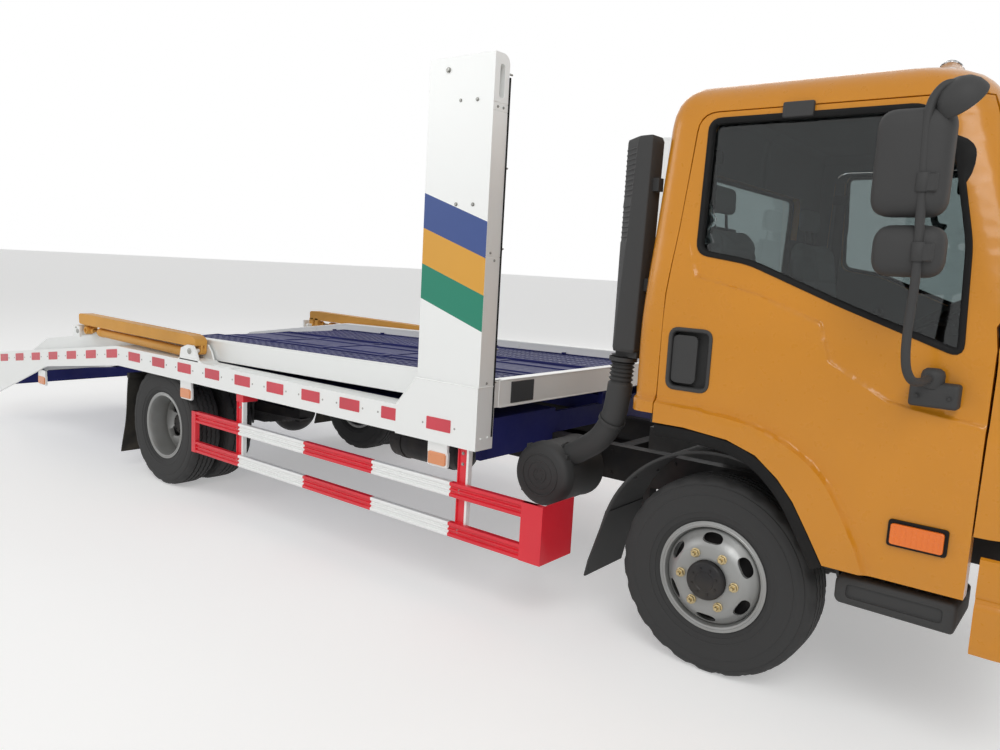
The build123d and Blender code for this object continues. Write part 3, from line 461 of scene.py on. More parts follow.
def girth_point(s, z):
    """Point on the skin; s is the way round from the middle of the front, positive to the left."""
    front, back, half = cab_section(z)
    flat, bend, side, turn, _ = runs(z)
    way = abs(s)
    if way <= flat:
        x, y = front, way
    elif way <= flat + bend:
        a = (way - flat) / FRONT_R
        x = front - FRONT_R * (1 - math.cos(a))
        y = flat + FRONT_R * math.sin(a)
    elif way <= flat + bend + side:
        x, y = front - FRONT_R - (way - flat - bend), half
    elif way <= flat + bend + side + turn:
        a = (way - flat - bend - side) / BACK_R
        x = back + BACK_R * (1 - math.sin(a))
        y = half - BACK_R * (1 - math.cos(a))
    else:
        x, y = back, max(0.0, half - BACK_R - (way - flat - bend - side - turn))
    return Vector((x, math.copysign(y, s), z))


def girth_at(x, z):
    """The way round to a place seen from the side."""
    front, _, _ = cab_section(z)
    flat, bend, _, _, _ = runs(z)
    inside = front - FRONT_R - x
    if inside < 0:
        return flat + FRONT_R * math.asin(min(1.0, (FRONT_R + inside) / FRONT_R)) if inside > -FRONT_R else flat
    return flat + bend + inside


def crest_distance(x, z, crest):
    """Distance from a crease line, positive on its right side as it runs forward."""
    best = 1e9
    sign = 1
    for (x0, z0), (x1, z1) in zip(crest, crest[1:]):
        dx, dz = x1 - x0, z1 - z0
        t = min(1.0, max(0.0, ((x - x0) * dx + (z - z0) * dz) / (dx * dx + dz * dz)))
        reach = math.hypot(x - x0 - t * dx, z - z0 - t * dz)
        if reach < best:
            best = reach
            sign = 1 if dx * (z - z0) - dz * (x - x0) < 0 else -1
    return sign * best


def ease(t):
    """Smooth step between 0 and 1."""
    t = min(1.0, max(0.0, t))
    return t * t * (3 - 2 * t)


FLARE_LIFT = 0.021
FLARE_BLEND = 0.016
WAIST_LIFT = 0.01
WAIST_BLEND = 0.012
HANDLE = (-0.209, -0.039, 1.142, 1.374)
HANDLE_DEPTH = 0.03


def relief(x, z):
    """How far the pressed forms stand out of the side skin."""
    lift = FLARE_LIFT * ease(crest_distance(x, z, FLARE_CREST) / FLARE_BLEND + 0.5) if z < 1.25 else 0.0
    fade = 1 - ease((z - 1.56) / 0.22)
    if fade:
        lift += WAIST_LIFT * fade * ease(crest_distance(x, z, WAIST_CREST) / WAIST_BLEND + 0.5)
    return lift


def crease_points(spacing):
    """Points along the edges of the pressed steps, seen from the side."""
    points = []
    for crest, blend in ((FLARE_CREST, FLARE_BLEND), (WAIST_CREST, WAIST_BLEND)):
        path = smooth_path([(x, 0, z) for x, z in crest], 4)
        for share in (-0.5, -0.17, 0.17, 0.5):
            for a, b in zip(path, path[1:]):
                along = b - a
                out = Vector((-along.z, 0, along.x)).normalized() * blend * share
                count = max(1, round(along.length / spacing))
                points += [((a + along * k / count + out).x, (a + along * k / count + out).z) for k in range(count)]
    return points


def skin_point(s, z, lift=0.0):
    """Point on the cab's skin, raised along its normal."""
    here = girth_point(s, z)
    step = 0.0004 if z > EAVES_Z else 0.002
    up = min(z + step, ROOF_Z)
    around = girth_point(s + step, z) - girth_point(s - step, z)
    rise = girth_point(s, up) - girth_point(s, up - 2 * step)
    return here + around.cross(rise).normalized() * lift


NOMINAL = sum(runs(1.2))


def spread_out(s, z):
    """Flat coordinate for the way round, so that the back edges meet at every height."""
    return s * NOMINAL / sum(runs(z))


def wrap_point(a, z, lift=0.0):
    """Skin point from the flat coordinate, with the side's pressed forms."""
    s = a * sum(runs(z)) / NOMINAL
    here = girth_point(s, z)
    flat, bend, side, turn, _ = runs(z)
    if lift >= 0 and abs(s) < flat + bend + side + turn:
        front_fade = ease((abs(s) - flat - bend * 0.3) / (bend * 0.5))
        lift += relief(here.x, z) * front_fade * (1 - ease((abs(s) - flat - bend - side) / turn))
    return skin_point(s, z, lift)


def side_point(side):
    """Function for the skin point of a place seen from the side."""
    def point(x, z, lift=0.0):
        s = side * girth_at(x, z)
        if lift >= 0:
            lift += relief(x, z)
        return skin_point(s, z, lift)
    return point


def divided(loop, spacing):
    """Closed outline with points no further apart than the spacing."""
    points = []
    for i, (u0, v0) in enumerate(loop):
        u1, v1 = loop[(i + 1) % len(loop)]
        count = max(1, math.ceil(math.hypot(u1 - u0, v1 - v0) / spacing))
        points += [(u0 + (u1 - u0) * k / count, v0 + (v1 - v0) * k / count) for k in range(count)]
    return points


def inside(points, loop):
    """Which points lie in the outline."""
    hits = np.zeros(len(points), bool)
    for i, (u0, v0) in enumerate(loop):
        u1, v1 = loop[(i + 1) % len(loop)]
        if v0 == v1:
            continue
        crosses = (v0 > points[:, 1]) != (v1 > points[:, 1])
        at = (u1 - u0) * (points[:, 1] - v0) / (v1 - v0) + u0
        hits ^= crosses & (points[:, 0] < at)
    return hits


def sheet_faces(loops, spacing, marks=()):
    """Flat points and triangles that fill the first outline apart from the others; marks are points to keep."""
    edge_points = [p for loop in loops for p in loop]
    edges = []
    start = 0
    for loop in loops:
        edges += [(start + i, start + (i + 1) % len(loop)) for i in range(len(loop))]
        start += len(loop)
    rim = np.array(edge_points)
    low, high = rim.min(0), rim.max(0)
    rows = np.arange(low[1] + spacing / 2, high[1], spacing * 0.87)
    grid = [
        (u, v)
        for k, v in enumerate(rows)
        for u in np.arange(low[0] + spacing * (0.5 if k % 2 else 1.0), high[0], spacing)
    ]
    grid = np.array(grid)
    keep = inside(grid, loops[0])
    for hole in loops[1:]:
        keep &= ~inside(grid, hole)
    grid = grid[keep]
    taken = rim
    if len(marks):
        marks = np.array(marks)
        keep = inside(marks, loops[0])
        for hole in loops[1:]:
            keep &= ~inside(marks, hole)
        marks = marks[keep]
        marks = marks[[np.min(np.hypot(*(rim - p).T)) > 0.006 for p in marks]]
        taken = np.vstack([rim, marks])
    clear = np.array([np.min(np.hypot(*(taken - p).T)) > spacing * 0.55 for p in grid])
    points = edge_points + [tuple(p) for p in marks] + [tuple(p) for p in grid[clear]]
    out, _, faces, origins, _, _ = delaunay_2d_cdt([Vector(p) for p in points], edges, [], 0, 1e-6)
    centres = np.array([[sum(out[i][k] for i in face) / len(face) for k in (0, 1)] for face in faces])
    keep = inside(centres, loops[0])
    for hole in loops[1:]:
        keep &= ~inside(centres, hole)
    rim_of = {}
    for i, origin in enumerate(origins):
        for o in origin:
            if o < len(edge_points):
                rim_of[o] = i
    return out, [face for face, k in zip(faces, keep) if k], rim_of


def panel(loops, spacing, inner_spacing, point, depth, inner_look=1, marks=()):
    """Form of a curved wall: a fine outer face, a coarse inner one and the edges between them."""
    form = Form()
    loops = [divided(loop, spacing * 1.6) for loop in loops]
    rims = []
    for lift, gap, look in ((0.0, spacing, 0), (-depth, inner_spacing, inner_look)):
        out, faces, rim_of = sheet_faces(loops, gap, marks if look == 0 else ())
        verts = [None] * len(out)
        for face in faces:
            corners = []
            for i in face:
                if verts[i] is None:
                    x, y, z = point(out[i][0], out[i][1], lift)
                    verts[i] = form.bm.verts.new((x + AXLE, y, z))
                corners.append(verts[i])
            form.bm.faces.new(corners).material_index = look
        rims.append((verts, rim_of))
    start = 0
    for loop in loops:
        count = len(loop)
        for i in range(count):
            j = (i + 1) % count
            corners = [
                rims[0][0][rims[0][1][start + i]],
                rims[0][0][rims[0][1][start + j]],
                rims[1][0][rims[1][1][start + j]],
                rims[1][0][rims[1][1][start + i]],
            ]
            if None not in corners:
                form.bm.faces.new(corners)
        start += count
    return form


def band(form, loop, point, profile, spacing=0.03):
    """Strip round an outline on the skin; profile is (outwards, lift) pairs round its section."""
    loop = divided(loop, spacing)
    area = sum(u0 * v1 - u1 * v0 for (u0, v0), (u1, v1) in zip(loop, loop[1:] + loop[:1]))
    turn = 1 if area > 0 else -1
    rings = []
    for i, (u, v) in enumerate(loop):
        along = Vector(loop[(i + 1) % len(loop)]) - Vector(loop[i - 1])
        out = Vector((along.y, -along.x)).normalized() * turn
        rings.append([point(u + out.x * w, v + out.y * w, lift) for w, lift in profile])
    form.skin(rings, closed=True)


RUBBER = [(0.005, 0.001), (0.003, 0.0055), (-0.004, 0.0065), (-0.01, 0.004), (-0.017, -0.002), (-0.018, -0.02),
          (-0.004, -0.024)]
WINDOW_LINE = rounded(WINDOW, 0.045)


def door_outline():
    """Door seen from the side, with a soft top back corner."""
    front = [(x, z) for x, z in DOOR_FRONT]
    back_top = rounded([DOOR_BACK[1], DOOR_BACK[2], DOOR_FRONT[0]], 0.07)[6:12]
    return front + ARCH + DOOR_BACK[:2] + back_top


def build_doors():
    """Doors with their windows, rubbers, handles, trims and side lamps."""
    for side in SIDES:
        name = SIDE_NAMES[side]
        body = name + "_door"
        point = side_point(side)
        handle = rounded(rectangle(HANDLE[0], HANDLE[1], HANDLE[2], HANDLE[3]), 0.035)
        form = panel([door_outline(), WINDOW_LINE, handle], 0.015, 0.06, point, CAB_WALL, marks=crease_points(0.012))
        piece(name + "_door_skin", form, body, ("yellow_paint", "trim_grey"), [body], smooth=40)

        glass = panel([WINDOW_LINE], 0.05, 0.05, lambda x, z, d: point(x, z, d - 0.022) , 0.005, 0)
        piece(name + "_window", glass, body, "glass", [body + "_glass"])
        rubber = Form()
        band(rubber, WINDOW_LINE, point, RUBBER)
        piece(name + "_window_rubber", rubber, body, "rubber", smooth=50)

        cup = Form()
        rim = [(0.005, 0.001), (0.004, 0.005), (-0.005, 0.006), (-0.01, 0.001), (-0.012, -0.026), (0.003, -0.026)]
        band(cup, handle, point, rim, 0.012)
        back = [tuple(point(x, z, -HANDLE_DEPTH)) for x, z in handle]
        cup.skin([back, [(x, y - side * 0.004, z) for x, y, z in back]])
        low = point(-0.124, 1.18, 0.0).y
        grip = rounded(rectangle(-0.196, -0.095, 1.165, 1.35), 0.024)
        cup.prism(grip, low - side * 0.016, low - side * 0.004)
        piece(name + "_door_handle", cup, body, "black_plastic", smooth=40, bevel=0.002)

        inner = Form()
        y_in = side * 0.925
        inner.prism(rounded(rectangle(-0.12, 0.52, 1.32, 1.39), 0.03), y_in, y_in - side * 0.055)
        inner.prism(rounded(rectangle(0.4, 0.78, 0.75, 0.92), 0.04), y_in, y_in - side * 0.045)
        inner.tube([(0.6, y_in, 1.3), (0.62, y_in - side * 0.05, 1.34), (0.7, y_in - side * 0.05, 1.38),
                    (0.72, y_in, 1.4)], 0.012)
        piece(name + "_door_trim", inner, body, "dark_trim", bevel=0.006)

        lamp = Form()
        frame_line = rounded(rectangle(0.636, 0.815, 0.728, 0.818), 0.012)
        y_skin = point(0.72, 0.77, 0.0).y
        lamp.prism(frame_line, y_skin - side * 0.004, y_skin + side * 0.01)
        piece(name + "_side_lamp_frame", lamp, body, "rubber", bevel=0.002)
        lens = Form()
        lens.prism(rounded(rectangle(0.646, 0.805, 0.738, 0.808), 0.01), y_skin + side * 0.01, y_skin + side * 0.024)
        piece(name + "_side_lamp", lens, body, "side_amber", bevel=0.004)
        ribs = Form()
        for k in range(9):
            x = 0.66 + k * 0.0165
            ribs.box(x, x + 0.004, y_skin + side * 0.02, y_skin + side * 0.0248, 0.744, 0.802)
        piece(name + "_side_lamp_ribs", ribs, body, "side_amber", bevel=0.001)

        latch = Form()
        top = point(0.16, 2.17, 0.0)
        latch.box(0.115, 0.225, top.y - side * 0.006, top.y + side * 0.016, 2.15, 2.205)
        piece(name + "_window_clip", latch, body, "black_plastic", bevel=0.006)


SCREEN = [(-0.85, 1.45), (0.85, 1.45), (0.77, 2.13), (-0.77, 2.13)]
BACK_WINDOW = rectangle(-0.56, 0.56, 1.56, 2.01)


def shell_outline():
    """Outline of the body shell in the flat coordinate: roof edge, pillars, front and back."""
    right = []
    gap_front = [(x + GAP, z + (GAP if z == DOOR_TOP else 0)) for x, z in DOOR_FRONT[:3]]
    gap_back = [(x - GAP, z) for x, z in DOOR_BACK[:2]]
    top_back = rounded([gap_back[1], (DOOR_BACK[2][0] - GAP, DOOR_TOP + GAP), gap_front[0]], 0.07)[6:12]
    door_edge = [(gap_back[0][0], BACK_LOW)] + [gap_back[1]] + top_back + gap_front
    door_edge.append((DOOR_FRONT[3][0] + GAP, FRONT_LOW))
    for x, z in door_edge:
        right.append((-spread_out(girth_at(x, z), z), z))
    left = [(-a, z) for a, z in reversed(right)]
    bottom_back = divided([(-NOMINAL, BACK_LOW), right[0]], 0.05)
    bottom_back = bottom_back[: len(bottom_back) // 2]
    loop = bottom_back + right + left
    loop += [(-a, z) for a, z in reversed(bottom_back)]
    return loop


SHELL_TOP = ROOF_Z - 0.0008


def build_shell():
    """Roof, back, pillars and front as one pressed shell with its window openings."""
    loop = shell_outline()
    step = 0.05
    sides = [BACK_LOW + k * (SHELL_TOP - BACK_LOW) / 40 for k in range(41)]
    loop = loop[:-1] + [(NOMINAL, z) for z in sides]
    count = int(2 * NOMINAL / step)
    loop += [(NOMINAL - 2 * NOMINAL * k / count, SHELL_TOP) for k in range(1, count)]
    loop += [(-NOMINAL, z) for z in sides[:0:-1]]
    screen = [(spread_out(y, z), z) for y, z in divided(rounded(SCREEN, 0.08), 0.06)]
    window = []
    for y, z in divided(rounded(BACK_WINDOW, 0.07), 0.05):
        s = sum(runs(z)) - abs(y)
        window.append((y, z, s))
    marks = []
    for x, z in crease_points(0.014):
        if z < SHELL_TOP - 0.02 and (x < DOOR_BACK[0][0] or x > DOOR_FRONT[-1][0]):
            a = spread_out(girth_at(x, z), z)
            marks += [(a, z), (-a, z)]
    for z in np.arange(BACK_LOW + 0.02, EAVES_Z + 0.06, 0.03):
        flat, bend, side, turn, _ = runs(z)
        ways = [flat + bend * k / 7 for k in range(8)] + [flat + bend + side + turn * k / 4 for k in range(5)]
        for s in ways:
            a = spread_out(s, z)
            marks += [(a, z), (-a, z)]
    form = panel([loop, screen], 0.026, 0.07, wrap_point, CAB_WALL, marks=marks)
    bmesh.ops.remove_doubles(form.bm, verts=form.bm.verts, dist=0.0002)

    for lift, look in ((0.0, 0), (-CAB_WALL, 1)):
        rings = []
        angles = [NOMINAL - 2 * NOMINAL * k / count for k in range(count)]
        for share in (1.0, 0.85, 0.6, 0.3, 0.05):
            ring = []
            for a in angles:
                x, y, z = wrap_point(a, SHELL_TOP, lift)
                crown = 0.01 * (1 - share ** 2)
                ring.append((0.175 + (x - 0.175) * share, y * share, z + crown))
            rings.append(ring)
        rows = [[form.bm.verts.new((x + AXLE, y, z)) for x, y, z in ring] for ring in rings]
        for low, high in zip(rows, rows[1:]):
            for i in range(count):
                j = (i + 1) % count
                form.bm.faces.new((low[i], low[j], high[j], high[i])).material_index = look
        form.bm.faces.new(rows[-1]).material_index = look
    bmesh.ops.remove_doubles(form.bm, verts=form.bm.verts, dist=0.0004)

    hole = Form()
    hole.prism(rounded(BACK_WINDOW, 0.07), -0.45, -0.22, "x")
    mesh = carved(form, hole)
    piece("cab_shell", mesh, "cab", ("yellow_paint", "trim_grey"),
          ["cab_roof", "cab_back", "cab_front"], smooth=38)

    glass = panel([screen], 0.05, 0.05, lambda a, z, d: wrap_point(a, z, d - 0.0215) if d < 0
                  else wrap_point(a, z, -0.0215), 0.0055, 0)
    piece("windscreen", glass, "cab", "glass", ["cab_glass"])
    pane = Form()
    pane.prism(rounded(BACK_WINDOW, 0.07), -0.338, -0.333, "x")
    piece("back_window", pane, "cab", "glass")

    rubber = Form()
    band(rubber, screen, wrap_point, RUBBER, 0.05)

    def back_point(y, z, lift=0.0):
        return Vector((cab_section(z)[1] - lift, y, z))

    band(rubber, rounded(BACK_WINDOW, 0.07), back_point, RUBBER, 0.05)
    piece("cab_window_rubbers", rubber, "cab", "rubber", smooth=50)


TREAD_STEPS = 132
# Half of the tyre's section: offset from its middle, radius
TYRE_HALF = [
    (0.07, 0.204), (0.079, 0.213), (0.08, 0.224), (0.087, 0.233), (0.0905, 0.241),
    (0.093, 0.2418), (0.094, 0.248), (0.0985, 0.262), (0.1003, 0.263), (0.1003, 0.269),
    (0.0998, 0.27), (0.1015, 0.29), (0.1022, 0.306), (0.1008, 0.328), (0.099, 0.33),
    (0.099, 0.338), (0.0998, 0.34), (0.0975, 0.356), (0.0945, 0.368), (0.0915, 0.369),
    (0.0905, 0.377), (0.088, 0.385), (0.079, 0.3935), (0.064, 0.3985), (0.055, 0.3992),
    (0.0535, 0.39), (0.0455, 0.39), (0.044, 0.3996), (0.022, 0.3999), (0.0205, 0.3905),
    (0.0125, 0.3905), (0.011, 0.4), (0.004, 0.4),
]
ZIGZAG = 0.0032
ZIGZAG_EDGE = 0.058
NOTCH_FROM = 0.062
NOTCH_TO = 0.089
NOTCH_DEPTH = 0.006


def tyre(form, x, y):
    """Tyre with side rings, zigzag grooves and notched shoulders."""
    section = TYRE_HALF + [(-along, radius) for along, radius in TYRE_HALF[::-1]]
    rings = []
    for k, turn in enumerate(turns(TREAD_STEPS)):
        shift = ZIGZAG if k % 2 else -ZIGZAG
        ring = []
        for along, radius in section:
            if radius > 0.38 and abs(along) < ZIGZAG_EDGE:
                along += shift
            if radius > 0.37 and NOTCH_FROM < abs(along) < NOTCH_TO and k % 6 < 2:
                radius -= NOTCH_DEPTH
            ring.append((x + radius * math.cos(turn), y + along, HUB_Z + radius * math.sin(turn)))
        rings.append(ring)
    form.skin(rings, closed=True)


# Rim and disc: offset from the rim's middle towards the bulge, radius
RIM_PROFILE = [
    (-0.086, 0.219), (-0.085, 0.2225), (-0.081, 0.223), (-0.0775, 0.22), (-0.0765, 0.204),
    (-0.04, 0.199), (0.0, 0.19), (0.04, 0.199), (0.0765, 0.204), (0.0775, 0.22),
    (0.081, 0.223), (0.085, 0.2225), (0.086, 0.219), (0.0845, 0.215), (0.0845, 0.211),
    (0.087, 0.2085), (0.0845, 0.201), (0.064, 0.1935), (0.04, 0.1935), (0.0, 0.1845),
    (-0.028, 0.1855), (-0.031, 0.19), (-0.05, 0.1915), (-0.053, 0.1965), (-0.072, 0.1975), (-0.0745,
            0.201), (-0.0845, 0.203),
]
DISC_PROFILE = [
    (0.045, 0.1932), (0.064, 0.1928), (0.074, 0.188), (0.083, 0.179), (0.096, 0.169), (0.109, 0.156),
    (0.116, 0.144), (0.12, 0.137), (0.122, 0.13), (0.122, 0.078), (0.11, 0.076),
    (0.11, 0.125), (0.104, 0.14), (0.09, 0.162), (0.07, 0.179), (0.045, 0.187),
]
DISC_FACE = 0.122
VENT_R = 0.163
VENT_LONG = 0.04
VENT_WIDE = 0.0185
STUD_R = 0.111
WHEEL_HOLES = 6


def disc(x, y, bulge):
    """Mesh of a wheel disc with its oval vents; bulge is the side that it curves towards."""
    form = Form()
    form.turned([(bulge * a, r) for a, r in DISC_PROFILE], (x, y, HUB_Z), (0, 1, 0), 96, ring=True)
    cutter = Form()
    for k in range(WHEEL_HOLES):
        turn = math.radians(30 + 60 * k)
        out = Vector((math.cos(turn), math.sin(turn)))
        side = Vector((-out.y, out.x))
        oval = []
        for a in turns(28):
            # sides flatter than an ellipse
            u = math.copysign(abs(math.cos(a)) ** 0.75, math.cos(a)) * VENT_LONG
            v = math.copysign(abs(math.sin(a)) ** 0.85, math.sin(a)) * VENT_WIDE
            p = out * (VENT_R + v - abs(u) * abs(u) * 2.2) + side * u
            oval.append((x + p.x, HUB_Z + p.y))
        cutter.prism(oval, y + bulge * 0.02, y + bulge * 0.16)
    return carved(form, cutter)


def studs(form, x, face, out, size=0.0165, shown=0.03):
    """Wheel nuts on their studs round the hub."""
    for k in range(WHEEL_HOLES):
        turn = math.radians(60 * k)
        at = (x + STUD_R * math.cos(turn), face, HUB_Z + STUD_R * math.sin(turn))
        axis = (0, out, 0)
        form.turned([(0, size * 1.12), (0.004, size * 1.12), (0.0055, size)], at, axis, 24)
        lift = (at[0], face + out * 0.005, at[2])
        form.turned([(0, size), (0.011, size), (0.013, size * 0.86)], lift, axis, 6)
        form.turned([(0, 0.0078), (shown - 0.01, 0.0078), (shown - 0.006, 0.0062)], lift, axis, 16)


# Plate behind the disc's vents: offset from the rim's middle, radius
BACKING = [(0.038, 0.09), (0.044, 0.09), (0.044, 0.176), (0.03, 0.18), (0.03, 0.174), (0.038, 0.17)]


def build_wheels():
    """Tyres, rims, discs, nuts and hubs."""
    front_y = abs(middle("front_right_tyre").y)
    twin_low, twin_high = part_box("rear_left_tyres")
    width = (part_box("front_left_tyre")[1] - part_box("front_left_tyre")[0]).y
    outer_y = twin_high.y - width / 2
    inner_y = twin_low.y + width / 2
    for side in SIDES:
        name = "front_" + SIDE_NAMES[side]
        body = name + "_wheel"
        y = side * front_y
        rubber = Form()
        tyre(rubber, 0.0, y)
        piece(name + "_tyre_tread", rubber, body, "tyre", [name + "_tyre"], smooth=30)
        rim = Form()
        rim.turned([(side * a, r) for a, r in RIM_PROFILE], (0, y, HUB_Z), (0, 1, 0), 96, ring=True)
        piece(name + "_rim_ring", rim, body, "silver_paint", [name + "_rim"], smooth=50)
        piece(name + "_disc", disc(0.0, y, side), body, "silver_paint", smooth=40, bevel=0.0015)
        face = y + side * DISC_FACE
        nuts = Form()
        studs(nuts, 0.0, face, side)
        piece(name + "_wheel_nuts", nuts, body, "brass", smooth=40)
        hub = Form()
        cap = [(-0.05, 0.074), (0.006, 0.074), (0.008, 0.078), (0.016, 0.0785), (0.024, 0.075), (0.029, 0.066),
               (0.03, 0.04), (0.0265, 0.036), (0.0265, 0.008)]
        hub.turned(cap, (0, face, HUB_Z), (0, side, 0), 64)
        hub.turned(BACKING, (0, y, HUB_Z), (0, side, 0), 64, ring=True)
        for k in range(8):
            turn = math.radians(45 * k + 20)
            at = (0.052 * math.cos(turn), face + side * 0.0297, HUB_Z + 0.052 * math.sin(turn))
            hub.bolt(at, (0, side, 0), 0.0055)
        piece(name + "_hub_cap", hub, body, "black_paint", smooth=40)

        name = "rear_" + SIDE_NAMES[side]
        body = name + "_wheels"
        twin = Form()
        for y in (side * outer_y, side * inner_y):
            tyre(twin, REAR, y)
        piece(name + "_twin_tyres", twin, body, "tyre", [name + "_tyres"], smooth=30)
        rims = Form()
        for y, bulge in ((side * outer_y, -side), (side * inner_y, side)):
            rims.turned([(-bulge * a, r) for a, r in RIM_PROFILE], (REAR, y, HUB_Z), (0, 1, 0), 96, ring=True)
        piece(name + "_rim_rings", rims, body, "silver_paint", [name + "_rims"], smooth=50)
        outer_disc = disc(REAR, side * outer_y, -side)
        piece(name + "_outer_disc", outer_disc, body, "silver_paint", smooth=40, bevel=0.0015)
        inner_disc = disc(REAR, side * inner_y, side)
        piece(name + "_inner_disc", inner_disc, body, "silver_paint", smooth=40)
        face = side * (outer_y - DISC_FACE + 0.012)
        nuts = Form()
        studs(nuts, REAR, face, side, 0.019, 0.045)
        piece(name + "_wheel_nuts", nuts, body, "brass", smooth=40)
        hub = Form()
        cap = [(-0.04, 0.074), (0.06, 0.072), (0.064, 0.066), (0.084, 0.065), (0.088, 0.06), (0.09, 0.03),
               (0.092, 0.02)]
        hub.turned(cap, (REAR, face, HUB_Z), (0, side, 0), 64)
        hub.turned(BACKING, (REAR, side * inner_y, HUB_Z), (0, side, 0), 64, ring=True)
        for k in range(8):
            turn = math.radians(45 * k + 10)
            at = (REAR + 0.048 * math.cos(turn), face + side * 0.0885, HUB_Z + 0.048 * math.sin(turn))
            hub.bolt(at, (0, side, 0), 0.007)
        piece(name + "_hub", hub, body, "black_paint", smooth=40)


def pillow(form, low, high, axis, radius, layers):
    """Rounded box along an axis; layers are (share of the length, inset of the outline)."""
    u0, v0, w0 = low
    u1, v1, w1 = high
    rings = []
    for share, inset in layers:
        corners = rectangle(u0 + inset, u1 - inset, v0 + inset, v1 - inset)
        w = w0 + (w1 - w0) * share
        outline = rounded(corners, max(0.004, radius - inset * 0.3), 6)
        rings.append([PLACES[axis](u, v, w) for u, v in outline])
    form.skin(rings)


SOFT_LAYERS = [(0.0, 0.012), (0.02, 0.004), (0.08, 0.0), (0.45, 0.0), (0.7, 0.004), (0.86, 0.016), (0.95, 0.034),
               (1.0, 0.06)]


MIRROR_ARM_Y = 1.212
ROUND_MIRROR = (0.722, 1.165, 2.118)
ROUND_MIRROR_AXIS = (0.45, -0.55, -0.7)


def build_mirrors():
    """Mirror arms with their brackets, clamps and three heads, on the doors."""
    for side in SIDES:
        name = SIDE_NAMES[side]
        body = name + "_door"
        arm = Form(side)
        path = [(0.712, 1.03, 1.3), (0.706, 1.075, 1.293), (0.697, 1.14, 1.291), (0.684, 1.185, 1.305),
                (0.672, 1.208, 1.35), (0.667, MIRROR_ARM_Y, 1.44), (0.671, MIRROR_ARM_Y, 1.62), (0.662,
                        MIRROR_ARM_Y, 1.82),
                (0.653, MIRROR_ARM_Y, 2.0), (0.652, 1.21, 2.06), (0.66, 1.205, 2.115), (0.684, 1.195, 2.153),
                (0.715, 1.18, 2.16)]
        arm.tube(path, 0.0135, 16, 6)
        low = (0.655, 1.205, 0.986)
        pillow(arm, low, (0.797, 1.284, 1.04), "y", 0.012, [(0, 0.0), (0.8, 0.0), (0.94, 0.004), (1, 0.01)])
        arm.turned([(-0.034, 0.03), (-0.028, 0.034), (0.008, 0.035), (0.02, 0.031), (0.028, 0.02)],
                   (0.716, 1.015, 1.3), (0, 0, 1), 28)
        for x, z in ((0.671, 1.68), (0.661, 1.88)):
            arm.turned([(-0.028, 0.0185), (-0.024, 0.0215), (0.024, 0.0215), (0.028, 0.0185)], (x, MIRROR_ARM_Y, z),
                       (0, 0, 1), 20)
            pillow(arm, (x - 0.004, z - 0.028, 1.17), (x + 0.04, z + 0.026, 1.228), "y", 0.008,
                   [(0, 0.0), (0.9, 0.0), (1, 0.004)])
        arm.bolt((0.68, 1.04, 1.24), (0, 1, 0), 0.008)
        arm.bolt((0.772, 1.04, 1.24), (0, 1, 0), 0.008)
        piece(name + "_mirror_arm", arm, body, "black_plastic", [name + "_door_fittings"],
              bevel=0.002, smooth=40)
        heads = Form(side)
        for x0, x1, z0, z1, deep in ((0.512, 0.722, 1.785, 2.1, 1.222), (0.532, 0.732, 1.606, 1.76, 1.216)):
            pillow(heads, (x0, z0, 1.13), (x1, z1, deep), "y", 0.055, SOFT_LAYERS)
        heads.turned([(-0.058, 0.012), (-0.054, 0.034), (-0.04, 0.056), (-0.02, 0.07), (0.0, 0.076), (0.01, 0.077),
                      (0.014, 0.072)], ROUND_MIRROR, ROUND_MIRROR_AXIS, 40)
        piece(name + "_mirror_heads", heads, body, "black_plastic", smooth=40, bevel=0.002)
        glass = Form(side)
        for x0, x1, z0, z1 in ((0.528, 0.706, 1.801, 2.084), (0.548, 0.716, 1.622, 1.744)):
            glass.prism(rounded(rectangle(x0, x1, z0, z1), 0.045), 1.1305, 1.128)
        glass.turned([(0.0135, 0.068), (0.0165, 0.066), (0.02, 0.034), (0.0205, 0.004)],
                     ROUND_MIRROR, ROUND_MIRROR_AXIS, 40)
        piece(name + "_mirror_glass", glass, body, "mirror", smooth=60)


WIPER_Z = 1.405
BEACON_X = 0.46
BUMPER_X = 1.092
BUMPER_SIDE_X = 0.907
BUMPER_Y = 1.0
BUMPER_R = 0.12
# Section of the bumper: inset from its face, height
BUMPER_SECTION = [
    (0.012, 0.755), (0.003, 0.749), (0.0, 0.738), (0.0, 0.64), (0.003, 0.628), (0.01, 0.62), (0.01, 0.606),
    (0.002, 0.596), (0.0, 0.585), (0.002, 0.56), (0.006, 0.48), (0.01, 0.446), (0.016, 0.434), (0.026, 0.431),
    (0.03, 0.44), (0.026, 0.56), (0.026, 0.738), (0.022, 0.753),
]


def bumper_ring(place, out):
    """Section of the bumper at a place in plan."""
    return [(place.x - out.x * inset, place.y - out.y * inset, z) for inset, z in BUMPER_SECTION]


